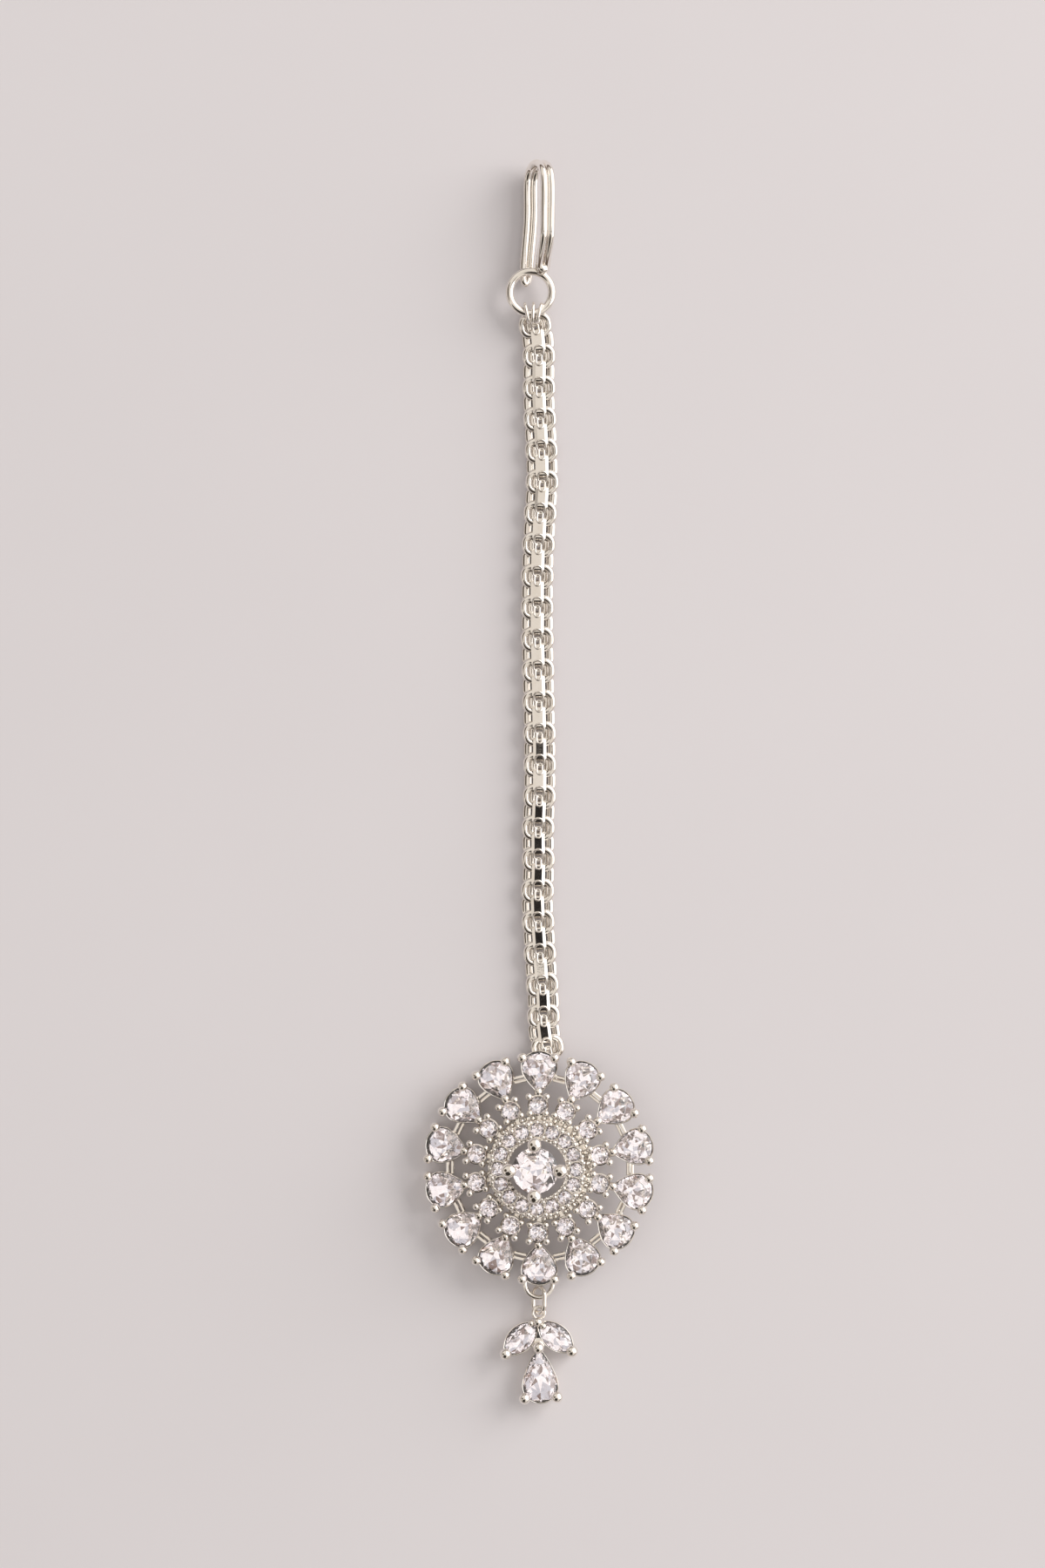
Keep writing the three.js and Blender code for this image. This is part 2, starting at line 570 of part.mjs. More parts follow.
function haloTier() {
  const skirtOuter = HALO_OUTER - HALO_TAPER;
  const pieces = [turned([
    [skirtOuter - HALO_SKIRT, SEAT_TOP + TIER_GAP], [skirtOuter, SEAT_TOP + TIER_GAP], [HALO_OUTER, HALO_TOP],
    [HALO_HOLE, HALO_TOP], [HALO_HOLE, HALO_TOP - HALO_PLATE], [skirtOuter - HALO_SKIRT, HALO_TOP - HALO_PLATE],
    [skirtOuter - HALO_SKIRT, SEAT_TOP + TIER_GAP]], HALO_SIDES)];
  const stoneRadius = (HALO_OUTER + HALO_HOLE) / 2 + HALO_STONE_SHIFT;
  for (let i = 0; i < HALO_STONES; i++) {
    const turn = (2 * Math.PI * i) / HALO_STONES;
    const crystal = turned([
      [0, HALO_TOP - SOLDER], [HALO_STONE / 2, HALO_TOP - SOLDER],
      [(HALO_STONE / 2) * TABLE_SHARE, HALO_TOP + HALO_STONE_CROWN], [0, HALO_TOP + HALO_STONE_CROWN]], 8);
    pieces.push(crystal.translate(0, stoneRadius, 0).rotateZ(turn));
  }
  return solder([...pieces, ...centreClaws()]);
}

function centreClaws() {
  const stoneRadius = CENTRE_DIAMETER / 2;
  const middle = CLAW_RADIUS - CLAW_LEAN;
  const clawLength = 2 * (middle - (stoneRadius - CLAW_OVERHANG));
  const rise = crownRise(CLAW_TOUCH, stoneRadius, CENTRE_CROWN);
  const level = CENTRE_GIRDLE + GIRDLE_BAND / 2 + rise + CLAW_THICKNESS * 0.4 + STONE_GAP;
  const pieces = [];
  for (let i = 0; i < 4; i++) {
    const head = new THREE.SphereGeometry(0.5, 8, 6).scale(CLAW_WIDTH, clawLength, CLAW_THICKNESS);
    pieces.push(post(0, CLAW_RADIUS, CLAW_WIRE, HALO_TOP - HALO_PLATE, level).rotateZ((i * Math.PI) / 2));
    pieces.push(head.translate(0, middle, level).rotateZ((i * Math.PI) / 2));
  }
  return pieces;
}

// Loose links

function jumpRingLink() {
  const ring = new THREE.TorusGeometry(JUMP_RING_RADIUS, JUMP_RING_WIRE / 2, LINK_SIDES, 14);
  return ring.translate(jumpRing.x, jumpRing.y, jumpRing.z);
}

const bailTop = jumpRing.y - JUMP_RING_RADIUS + JUMP_RING_WIRE / 2 + LINK_GAP + BAIL_WIRE + BAIL_SLACK;
const bailMiddle = new THREE.Vector3(jumpRing.x, bailTop - BAIL_LENGTH / 2,
  ((BAIL_WIDTH - BAIL_WIRE) / 2) * Math.sin(radians(BAIL_TILT)) + BAIL_WIRE / 2);

function bailLink() {
  const link = ovalRing(BAIL_WIDTH, BAIL_LENGTH, BAIL_WIRE, LINK_SIDES, 12);
  return link.rotateY(-radians(BAIL_TILT)).translate(bailMiddle.x, bailMiddle.y, bailMiddle.z);
}

// Drop: everything hangs from its own point below the bail, with the pear straight down

const dropLoopHole = BAIL_WIRE / 2 / Math.sin(radians(BAIL_TILT)) + LINK_GAP;
const dropLoop = new THREE.Vector3(0, 0, bailMiddle.z);
const drop = new THREE.Group();
drop.position.set(bailMiddle.x, bailMiddle.y - (BAIL_LENGTH - BAIL_WIRE) / 2, 0);
drop.rotation.set(0, 0, radians(DROP_LEAN));

const dropPostY = -dropLoopHole - (DROP_POST + SOLDER) / 2;
const marquiseMiddle = MARQUISE_STEP + MARQUISE_LENGTH / 2;
const dropPearMiddle = dropPostY - DROP_PEAR_STEP - DROP_PEAR_LENGTH / 2;
const dropRim = DROP_GIRDLE - GIRDLE_BAND / 2 - STONE_GAP - COLLET_DROP;
const dropBallLevel = DROP_GIRDLE + GIRDLE_BAND + DROP_BALL / 2 + STONE_GAP;

function toMarquise(geometry, side) {
  return geometry
    .translate(0, -marquiseMiddle, 0)
    .rotateZ(side * radians(DROP_SPREAD))
    .translate(-DROP_POST_SHIFT, dropPostY, 0);
}

function dropSetting() {
  const loop = new THREE.TorusGeometry(
    dropLoopHole + DROP_LOOP_WIRE / 2, DROP_LOOP_WIRE / 2, LINK_SIDES, LINK_STEPS);
  const pieces = [
    loop.translate(0, 0, dropLoop.z),
    post(-DROP_POST_SHIFT, dropPostY, DROP_POST, 0, DROP_GIRDLE + DROP_POST_RISE, 8),
    ball(-DROP_POST_SHIFT, dropPostY, DROP_GIRDLE + DROP_POST_RISE, DROP_POST_BALL),
  ];
  for (const side of [-1, 1]) {
    pieces.push(toMarquise(wall(
      marquiseOutline(MARQUISE_WIDTH, MARQUISE_LENGTH, COLLET_RIM),
      marquiseOutline(MARQUISE_WIDTH, MARQUISE_LENGTH, -COLLET_LEDGE), 0, dropRim), side));
    const tip = -MARQUISE_LENGTH / 2;
    pieces.push(toMarquise(claw(
      [0, tip - TIP_CLAW_STEP], [0, MARQUISE_CLAW_LEAN], PRONG_WIRE, DROP_BALL, 0, dropBallLevel, 6), side));
  }
  const middle = dropPearMiddle;
  pieces.push(wall(
    pearOutline(DROP_PEAR_WIDTH, DROP_PEAR_LENGTH, COLLET_RIM),
    pearOutline(DROP_PEAR_WIDTH, DROP_PEAR_LENGTH, -COLLET_LEDGE), 0, dropRim).rotateZ(Math.PI)
    .translate(-DROP_POST_SHIFT, middle, 0));
  const tipY = middle + DROP_PEAR_LENGTH / 2;
  pieces.push(post(-DROP_POST_SHIFT, tipY + HUB_STEP, DROP_HUB, 0, dropRim, 8));
  pieces.push(claw(
    [-DROP_POST_SHIFT, tipY + TIP_CLAW_STEP], [0, -PEAR_CLAW_LEAN],
    PRONG_WIRE, DROP_BALL, dropRim / 2, dropBallLevel, 6));
  const shoulder = [-DROP_POST_SHIFT, middle - DROP_PEAR_LENGTH / 2 + DROP_PEAR_WIDTH / 2];
  for (const turn of [-radians(DROP_PRONG_TURN), radians(DROP_PRONG_TURN) - Math.PI]) {
    const edge = DROP_PEAR_WIDTH / 2;
    pieces.push(prong(shoulder, turn, edge, PRONG_WIRE, DROP_BALL, DROP_OVERHANG, 0, dropBallLevel, 6));
  }
  return solder(pieces);
}

// Assembly

function mesh(name, geometry, material) {
  const piece = new THREE.Mesh(geometry, material);
  piece.name = name;
  return piece;
}

const tikka = new THREE.Group();
tikka.add(mesh('hair_hook', hairHook(), SILVER));
tikka.add(mesh('chain', chain(), SILVER));

medallion.add(mesh('medallion_frame', medallionFrame(), SILVER));
medallion.add(mesh('halo_tier', haloTier(), SILVER));
for (let i = 0; i < PETALS; i++) {
  const number = String(i + 1).padStart(2, '0');
  const pear = mesh(`pear_stone_${number}`,
    stone(pearOutline(PEAR_WIDTH, PEAR_LENGTH), PEAR_CROWN, PEAR_DEPTH), CRYSTAL);
  const round = mesh(`round_stone_${number}`,
    stone(roundOutline(ROUND_DIAMETER, 8), ROUND_CROWN, ROUND_DEPTH), CRYSTAL);
  const turn = petalAngle(i);
  pear.position.set(PEAR_RADIUS * Math.cos(turn), PEAR_RADIUS * Math.sin(turn), PEAR_GIRDLE);
  round.position.set(ROUND_RADIUS * Math.cos(turn), ROUND_RADIUS * Math.sin(turn), ROUND_GIRDLE);
  pear.rotation.z = turn - Math.PI / 2;
  round.rotation.z = turn - Math.PI / 2;
  medallion.add(pear, round);
}
const centreStone = mesh('centre_stone',
  stone(roundOutline(CENTRE_DIAMETER, 16), CENTRE_CROWN, CENTRE_DEPTH, GIRDLE_BAND), CRYSTAL);
centreStone.position.z = CENTRE_GIRDLE;
medallion.add(centreStone);
tikka.add(medallion);

tikka.add(mesh('jump_ring', jumpRingLink(), SILVER));
tikka.add(mesh('bail_link', bailLink(), SILVER));
drop.add(mesh('drop_setting', dropSetting(), SILVER));
for (const [name, side] of [['marquise_left', -1], ['marquise_right', 1]]) {
  const cut = stone(marquiseOutline(MARQUISE_WIDTH, MARQUISE_LENGTH), DROP_CROWN, DROP_DEPTH, GIRDLE_BAND);
  drop.add(mesh(name, toMarquise(cut.translate(0, 0, DROP_GIRDLE), side), CRYSTAL));
}
const dropPear = stone(
  pearOutline(DROP_PEAR_WIDTH, DROP_PEAR_LENGTH), DROP_CROWN, DROP_DEPTH, GIRDLE_BAND);
dropPear.rotateZ(Math.PI).translate(-DROP_POST_SHIFT, dropPearMiddle, DROP_GIRDLE);
drop.add(mesh('drop_pear_stone', dropPear, CRYSTAL));
tikka.add(drop);

// The origin is the middle of the piece, on the surface that it lies on
const part = new THREE.Group();
part.add(tikka);
const bounds = new THREE.Box3().setFromObject(tikka, true);
tikka.position.set(-(bounds.min.x + bounds.max.x) / 2, -(bounds.min.y + bounds.max.y) / 2, -bounds.min.z);

export default part;
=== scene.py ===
# Maang tikka laid face up on a pale table: fine metal, cut stones, light from a window at the right.
# Sizes are in millimetres and are turned into metres when a piece is made.

import math

import bmesh
import bpy
from mathutils import Matrix, Vector


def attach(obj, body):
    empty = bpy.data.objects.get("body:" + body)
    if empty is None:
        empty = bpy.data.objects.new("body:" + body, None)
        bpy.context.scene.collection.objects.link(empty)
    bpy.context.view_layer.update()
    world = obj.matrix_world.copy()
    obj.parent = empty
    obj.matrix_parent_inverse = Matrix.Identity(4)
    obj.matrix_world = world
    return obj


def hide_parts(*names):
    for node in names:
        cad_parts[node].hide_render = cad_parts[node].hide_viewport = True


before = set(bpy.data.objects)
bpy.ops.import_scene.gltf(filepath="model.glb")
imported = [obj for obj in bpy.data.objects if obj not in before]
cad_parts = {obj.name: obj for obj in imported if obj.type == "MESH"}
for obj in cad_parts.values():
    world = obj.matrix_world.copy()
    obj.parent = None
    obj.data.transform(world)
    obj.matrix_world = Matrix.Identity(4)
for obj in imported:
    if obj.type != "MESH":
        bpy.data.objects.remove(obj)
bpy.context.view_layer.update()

MM = 0.001
SHIFT = Vector((-1.90482, -0.16231, 0.0))  # from the maker's drawing to the middle of the piece

# Hair hook
HOOK_WIRE = 0.86
HOOK_WIRE_GAP = 0.06  # between the two wires
HOOK_LENGTH = 11.85  # from the foot to the top of the bend
HOOK_MOUTH = 3.7  # clear width between the legs
HOOK_TILT = 65  # degrees that the hook leans up from the table
HOOK_X = 0.95  # middle of the lower leg
HOOK_REST = 0.05  # how far the lower leg stays clear of the table
HOOK_FOOT_REACH = 0.4  # from the middle of the ring's wire to the foot
HOOK_FOOT_RISE = 0.25  # how much higher the foot is than the ring
HOOK_FOOT_SIDE = 0.65  # how far the foot stands to the right of the hook's own plane
HOOK_SHOULDER = 3.4  # from the foot to where the upper leg runs straight
HOOK_TAIL = [  # lower leg: height above the foot, step to the left, share of the wires' distance
    (4.6, 0.08, 1.0), (1.9, 0.32, 0.97), (0.2, 0.48, 0.9), (-1.0, 0.55, 0.76), (-1.4, 0.56, 0.62), (-1.62, 0.57, 0.34),
]
HOOK_TAIL_END = (-1.69, 0.57)  # height above the foot and step to the left where the two wires meet
HOOK_RING = Vector((0.95, 56.25, 1.92))
RING_RADIUS = 2.42  # to the middle of its wire
RING_WIRE = 0.95
FOOT_RADII = [  # solder pad, from the ends of the wires down to the ring
    0.10, 0.42, 0.66, 0.78, 0.84, 0.86, 0.86, 0.84, 0.81, 0.78, 0.75, 0.71, 0.67, 0.63, 0.6, 0.58, 0.55, 0.5, 0.42,
    0.25, 0.06,
]

# Chain
CHAIN_ROUTE = [  # middle of the chain from its first to its last side ring
    (1.45, 52.6), (1.8, 50.8), (1.9, 43.8), (2.26, 36.0), (2.0, 30.0), (1.8, 26.5), (1.7, 19.5), (2.0, 1.0),
    (1.8, -5.8), (1.85, -9.8), (1.7, -13.6), (1.9, -17.1), (2.1, -20.8), (2.37, -24.5), (2.47, -28.4), (2.85, -30.2),
]
CHAIN_SIZES = {
    "Links": 24, "Ring width": 3.86, "Ring length": 3.0, "Ring wire": 0.8, "Low ring width": 3.66,
    "Low ring length": 2.9, "Low ring wire": 0.92, "Plate width": 1.4, "Plate length": 2.72, "Plate height": 1.7,
    "Plate wall": 0.22, "Plate flare": 0.22, "Plate top": 0.78, "Plate corner": 0.28, "Small ring width": 1.28,
    "Small ring length": 1.55, "Small ring wire": 0.25, "Under ring width": 2.4, "Under ring length": 2.6,
    "Under ring wire": 0.72, "Level": 0.95, "Wobble": 0.02, "Seed": 5,
}
PLATE_TURN = -math.pi / 2  # the bevelled side of a box link faces out
TOP_RINGS = (1.2, 53.82, 1.575)  # middle of the three small rings at the hook's ring

# Medallion
MEDALLION = Vector((2.14, -43.843, 1.6208))
MEDALLION_TILT = 7  # degrees that its right side is propped up
PETALS = 14
PEAR_RADIUS = 10.943  # from the middle of the medallion to the middle of a pear
PEAR_WIDTH = 3.94
PEAR_LENGTH = 4.6
PEAR_GIRDLE = 2.05  # level of the widest edge of the stones
ROUND_RADIUS = 7.263
ROUND_DIAMETER = 1.92
ROUND_GIRDLE = 3.0
SMALL_BALL_TURNS = (43, 137, 225, 315)  # degrees round a round stone
SEAT_BEAD_RADIUS = 5.78
HALO_TOP = 4.1
HALO_STONES = 16
HALO_STONE = 1.62
HALO_STONE_RADIUS = 4.5  # from the middle of the medallion to the middle of a halo stone
CENTRE_DIAMETER = 5.3
CENTRE_GIRDLE = 5.55
CLAW_RADIUS = 3.04
RIM_HEIGHT = 0.08  # of a collet's rim above the girdle
PRONG_WIRE = 0.58

# Cross-sections of what is turned round an axis, as radius and height
SMALL_COLLET = [
    (0.0, 1.0), (0.9, 1.0), (1.12, 1.1), (1.19, 2.2), (1.23, 2.9), (1.18, 3.04), (1.07, 3.07), (0.98, 3.0),
    (0.97, 2.86), (0.72, 2.78), (0.0, 2.0),
]
SEAT_RING = [
    (4.98, 1.05), (5.05, 1.0), (5.94, 1.0), (6.0, 1.07), (6.0, 1.24), (5.94, 1.3), (5.3, 1.3), (5.25, 1.8),
    (5.05, 1.8), (4.98, 1.74),
]
HALO_RING = [
    (4.85, 1.92), (4.92, 1.9), (5.2, 1.9), (5.27, 1.97), (5.42, 3.7), (5.45, 3.95), (5.38, 4.05), (5.28, 4.07),
    (5.24, 4.0), (5.22, 3.72), (3.72, 3.72), (3.7, 4.02), (3.62, 4.12), (3.42, 4.1), (3.33, 4.0), (3.31, 3.55),
    (3.38, 3.5), (4.85, 3.5),
]
HALO_CUP = [
    (0.0, 3.6), (0.6, 3.6), (0.86, 3.75), (0.89, 4.1), (0.85, 4.15), (0.79, 4.14), (0.76, 4.08), (0.7, 3.95),
    (0.0, 3.65),
]

# Loose links and drop
JUMP_RING = Vector((1.87, -57.236, 0.95))
JUMP_RING_RADIUS = 1.6
JUMP_RING_WIRE = 0.6
BAIL = Vector((1.87, -59.091, 1.041))
BAIL_TILT = 50  # degrees from lying flat
BAIL_WIDTH = 2.55
BAIL_LENGTH = 3.55
BAIL_WIRE = 0.55
DROP = Vector((1.87, -60.591, 0.0))
DROP_LEAN = 2.5  # degrees that it has swung
DROP_POST_X = -0.2
DROP_SPREAD = 47.5  # degrees between the middle line and each marquise
DROP_GIRDLE = 1.65
DROP_RIM = 1.42
DROP_STEM_TOP = 2.3
DROP_BALL_LEVEL = 2.46
DROP_LOOP_LEVEL = 1.041
DROP_LOOP_RADIUS = 0.679
DROP_POST_Y = -0.959
MARQUISE_MIDDLE = 2.75
MARQUISE_LENGTH = 4.9
MARQUISE_WIDTH = 2.7
DROP_PEAR_Y = -7.109
DROP_PEAR_LENGTH = 6.2
DROP_PEAR_WIDTH = 3.9

radians = math.radians


# ---- shaping in millimetres ----

class Stock:
    """Vertices and faces of one piece while it is being made, in millimetres."""

    def __init__(self):
        self.spots = []
        self.faces = []

    def add(self, shape, place=None):
        spots, faces = shape
        start = len(self.spots)
        self.spots += [place @ Vector(s) if place else Vector(s) for s in spots]
        self.faces += [tuple(start + i for i in face) for face in faces]
        return self

    def mesh(self, name, place=None, sharp=32):
        mesh = bpy.data.meshes.new(name)
        spots = [place @ s if place else s for s in self.spots]
        mesh.from_pydata([tuple((s + SHIFT) * MM) for s in spots], [], self.faces)
        work = bmesh.new()
        work.from_mesh(mesh)
        bmesh.ops.remove_doubles(work, verts=work.verts, dist=1e-7)
        bmesh.ops.recalc_face_normals(work, faces=work.faces)
        work.to_mesh(mesh)
        work.free()
        mesh.validate()
        smooth = sharp > 0
        mesh.polygons.foreach_set("use_smooth", [smooth] * len(mesh.polygons))
        if smooth:
            mesh.set_sharp_from_angle(angle=radians(sharp))
        mesh.update()
        return mesh


def loft(rows, closed=False, ends=False):
    count = len(rows[0])
    spots = [p for row in rows for p in row]
    faces = []
    for r in range(len(rows) if closed else len(rows) - 1):
        low, high = r * count, ((r + 1) % len(rows)) * count
        for i in range(count):
            j = (i + 1) % count
            faces.append((low + i, low + j, high + j, high + i))
    if ends:
        faces.append(tuple(reversed(range(count))))
        last = (len(rows) - 1) * count
        faces.append(tuple(range(last, last + count)))
    return spots, faces


def on_circle(radius, i, steps):
    turn = 2 * math.pi * i / steps
    return radius * math.cos(turn), radius * math.sin(turn)


def turned(profile, sides, closed=False):
    rows = [[(*on_circle(max(r, 1e-4), i, sides), z) for i in range(sides)] for r, z in profile]
    return loft(rows, closed=closed, ends=not closed)


def ball(middle, radius, sides=14, stretch=(1, 1, 1)):
    rings = sides // 2 + 1
    profile = [(radius * math.sin(math.pi * k / rings), -radius * math.cos(math.pi * k / rings))
               for k in range(rings + 1)]
    spots, faces = turned(profile, sides)
    return [(middle[0] + x * stretch[0], middle[1] + y * stretch[1], middle[2] + z * stretch[2])
            for x, y, z in spots], faces


def tube(path, radius, sides=16, closed=False):
    path = [Vector(p) for p in path]
    count = len(path)
    radii = radius if isinstance(radius, list) else [radius] * count
    rows = []
    side = None
    for i, p in enumerate(path):
        before = path[(i - 1) % count] if closed or i else p
        after = path[(i + 1) % count] if closed or i < count - 1 else p
        along = (after - before).normalized()
        if side is None:
            side = along.orthogonal().normalized()
        side = (side - along * side.dot(along)).normalized()
        up = along.cross(side)
        turns = [2 * math.pi * k / sides for k in range(sides)]
        rows.append([tuple(p + (side * math.cos(turn) + up * math.sin(turn)) * radii[i]) for turn in turns])
    if closed:
        # the frame comes round a little turned, so the last row is matched to the first
        first, last = rows[0], rows[-1]
        gaps = [sum((Vector(first[k]) - Vector(last[(k + t) % sides])).length for k in range(sides))
                for t in range(sides)]
        turn = gaps.index(min(gaps))
        if turn:
            steps = [round(turn * i / (count - 1)) for i in range(count)]
            rows = [row[s:] + row[:s] for row, s in zip(rows, steps)]
    return loft(rows, closed=closed, ends=not closed)


def ring(radius, wire, steps, sides):
    return tube([(*on_circle(radius, i, steps), 0) for i in range(steps)], wire / 2, sides, closed=True)


def rounded_bar(width, length, bottom, top, edge=0.07):
    """A bar with a narrow bevel round its top and its bottom."""
    def outline(inset):
        w, l = width / 2 - inset, length / 2 - inset
        return [(-w, -l), (w, -l), (w, l), (-w, l)]
    rows = [(edge, bottom), (0, bottom + edge), (0, top - edge), (edge, top)]
    return loft([[(x, y, z) for x, y in outline(inset)] for inset, z in rows], ends=True)


def bezier(a, b, c, d, steps):
    """Points from a towards d, without d itself; b and c are the handles."""
    out = []
    for i in range(steps):
        t = i / steps
        k = (1 - t) ** 3, 3 * t * (1 - t) ** 2, 3 * t * t * (1 - t), t ** 3
        out.append(tuple(sum(k[n] * p[axis] for n, p in enumerate((a, b, c, d))) for axis in (0, 1)))
    return out


def pear_outline(width, length, grow=0.0, steps=10):
    """A pear with its tip down, grown outwards by a rim's width."""
    half = width / 2 + grow
    tip = -length / 2 - grow * 1.4
    shoulder = max(length * 0.14, length / 2 - width / 2)  # where the pear is widest
    crown = length / 2 + grow - shoulder
    low, high = (half * 0.43, tip * 0.68), (half, shoulder - half * 0.5)
    right = bezier((0, tip), low, high, (half, shoulder), steps)
    turns = [math.pi * i / (2 * steps) for i in range(2 * steps)]
    arc = [(half * math.cos(turn), shoulder + crown * math.sin(turn)) for turn in turns]
    left = bezier((-half, shoulder), (-high[0], high[1]), (-low[0], low[1]), (0, tip), steps)
    return right + arc + left


def marquise_outline(width, length, grow=0.0, steps=14):
    belly = (width / 2 + grow) * 1.34
    tip = length / 2 + grow * 1.6
    right = bezier((0, -tip), (belly, -tip * 0.5), (belly, tip * 0.5), (0, tip), steps)
    left = bezier((0, tip), (-belly, tip * 0.5), (-belly, -tip * 0.5), (0, -tip), steps)
    return right + left


def round_outline(diameter, grow=0.0, steps=32):
    return [on_circle(diameter / 2 + grow, i, steps) for i in range(steps)]


def reach_at(outline, turn):
    """How far an outline is from its middle in one direction."""
    best = 0.0
    direction = Vector((math.cos(turn), math.sin(turn)))
    for i, a in enumerate(outline):
        a, b = Vector(a), Vector(outline[(i + 1) % len(outline)])
        edge = b - a
        cross = direction.x * edge.y - direction.y * edge.x
        if abs(cross) < 1e-9:
            continue
        t = (a.x * edge.y - a.y * edge.x) / cross
        s = (a.x * direction.y - a.y * direction.x) / cross
        if t > 0 and -1e-6 <= s <= 1 + 1e-6:
            best = max(best, t)
    return best


def brilliant(outline, crown, depth, level, fold=8, table=0.56, girdle=0.08, start=math.pi / 2):
    """A cut stone: table, star, kite and girdle facets above, three rows of facets below."""
    def spot(share, step, z):
        turn = start + 2 * math.pi * step / fold
        r = reach_at(outline, turn) * share
        return (r * math.cos(turn), r * math.sin(turn), z)
    # rows from the top down: table, stars, both edges of the girdle, outer and inner lower facets, culet
    top, bottom = level + girdle / 2, level - girdle / 2
    spots = [spot(table, k, top + crown) for k in range(fold)]
    spots += [spot(0.80, k + 0.5, top + crown * 0.52) for k in range(fold)]
    spots += [spot(1, k / 2, top) for k in range(2 * fold)]
    spots += [spot(1, k / 2, bottom) for k in range(2 * fold)]
    spots += [spot(0.63, k + 0.5, bottom - depth * 0.45) for k in range(fold)]
    spots += [spot(0.27, k, bottom - depth * 0.82) for k in range(fold)]
    spots.append((0, 0, bottom - depth))
    star, rim, low, outer, inner, culet = fold, 2 * fold, 4 * fold, 6 * fold, 7 * fold, 8 * fold
    faces = [tuple(range(fold))]
    for k in range(fold):
        n, before = (k + 1) % fold, (k - 1) % fold
        g, half, after = 2 * k, 2 * k + 1, (2 * k + 2) % (2 * fold)
        faces.append((k, star + k, n))
        faces.append((k, star + before, rim + g, star + k))
        faces.append((star + k, rim + g, rim + half))
        faces.append((star + k, rim + half, rim + after))
        faces.append((rim + g, low + g, low + half, rim + half))
        faces.append((rim + half, low + half, low + after, rim + after))
        faces.append((outer + k, low + half, low + g))
        faces.append((outer + k, low + after, low + half))
        faces.append((outer + k, low + g, outer + before))
        faces.append((outer + k, outer + before, inner + k))
        faces.append((outer + k, inner + k, inner + n))
        faces.append((culet, inner + n, inner + k))
    return spots, faces


def smooth_route(points, steps):
    """A centripetal curve through chosen points."""
    pts = [Vector(p) for p in points]
    pts = [pts[0] * 2 - pts[1]] + pts + [pts[-1] * 2 - pts[-2]]
    out = []
    for i in range(1, len(pts) - 2):
        a, b, c, d = pts[i - 1:i + 3]
        t0, t1 = 0.0, (b - a).length ** 0.5
        t2 = t1 + (c - b).length ** 0.5
        t3 = t2 + (d - c).length ** 0.5
        for k in range(steps):
            t = t1 + (t2 - t1) * k / steps
            ab = a * ((t1 - t) / (t1 - t0)) + b * ((t - t0) / (t1 - t0))
            bc = b * ((t2 - t) / (t2 - t1)) + c * ((t - t1) / (t2 - t1))
            cd = c * ((t3 - t) / (t3 - t2)) + d * ((t - t2) / (t3 - t2))
            abc = ab * ((t2 - t) / (t2 - t0)) + bc * ((t - t0) / (t2 - t0))
            bcd = bc * ((t3 - t) / (t3 - t1)) + cd * ((t - t1) / (t3 - t1))
            out.append(abc * ((t2 - t) / (t2 - t1)) + bcd * ((t - t1) / (t2 - t1)))
    out.append(pts[-2])
    return out


def turn_y(degrees):
    return Matrix.Rotation(radians(degrees), 4, "Y")


def turn_z(degrees):
    return Matrix.Rotation(radians(degrees), 4, "Z")


def move(x, y, z=0.0):
    return Matrix.Translation((x, y, z))


# ---- materials ----

def new_material(name):
    material = bpy.data.materials.new(name)
    material.use_nodes = True
    tree = material.node_tree
    tree.nodes.clear()
    out = tree.nodes.new("ShaderNodeOutputMaterial")
    surface = tree.nodes.new("ShaderNodeBsdfPrincipled")
    tree.links.new(surface.outputs[0], out.inputs[0])
    return material, tree, surface


def put(tree, kind, values=None, **settings):
    node = tree.nodes.new(kind)
    for key, value in settings.items():
        setattr(node, key, value)
    for key, value in (values or {}).items():
        socket = node.inputs[key]
        if isinstance(value, bpy.types.NodeSocket):
            tree.links.new(value, socket)
        else:
            socket.default_value = value
    return node


def finish_group():
    """Colour, roughness and height of a plated or cut surface that isn't perfectly even; in the cut stones the second
    colour is a painted glint.
    """
    group = bpy.data.node_groups.new("uneven_finish", "ShaderNodeTree")
    face = group.interface
    for label, value in (("Clean", (1, 1, 1, 1)), ("Worn and glint tint", (0.5, 0.5, 0.5, 1)), ("Patch size", 600.0),
                         ("Low roughness", 0.05), ("High roughness", 0.2)):
        kind = "NodeSocketColor" if isinstance(value, tuple) else "NodeSocketFloat"
        face.new_socket(label, in_out="INPUT", socket_type=kind).default_value = value
    face.new_socket("Color", in_out="OUTPUT", socket_type="NodeSocketColor")
    for label in ("Roughness", "Height"):
        face.new_socket(label, in_out="OUTPUT", socket_type="NodeSocketFloat")
    given = group.nodes.new("NodeGroupInput").outputs
    place = put(group, "ShaderNodeTexCoord").outputs["Object"]
    patches = put(group, "ShaderNodeTexNoise", {
        "Vector": place, "Scale": given["Patch size"], "Detail": 4.0, "Roughness": 0.55})
    grain = put(group, "ShaderNodeTexNoise", {"Vector": place, "Scale": 5200.0, "Detail": 2.0})
    share = put(group, "ShaderNodeMapRange", {
        "Value": patches.outputs["Fac"], "From Min": 0.35, "From Max": 0.7})
    tint = put(group, "ShaderNodeMix", {
        0: share.outputs[0], 6: given["Clean"], 7: given["Worn and glint tint"]}, data_type="RGBA")
    gloss = put(group, "ShaderNodeMapRange", {
        "Value": patches.outputs["Fac"], "From Min": 0.3, "From Max": 0.75,
        "To Min": given["Low roughness"], "To Max": given["High roughness"]})
    out = group.nodes.new("NodeGroupOutput")
    group.links.new(tint.outputs[2], out.inputs["Color"])
    group.links.new(gloss.outputs[0], out.inputs["Roughness"])
    group.links.new(grain.outputs["Fac"], out.inputs["Height"])
    return group


FINISH = finish_group()


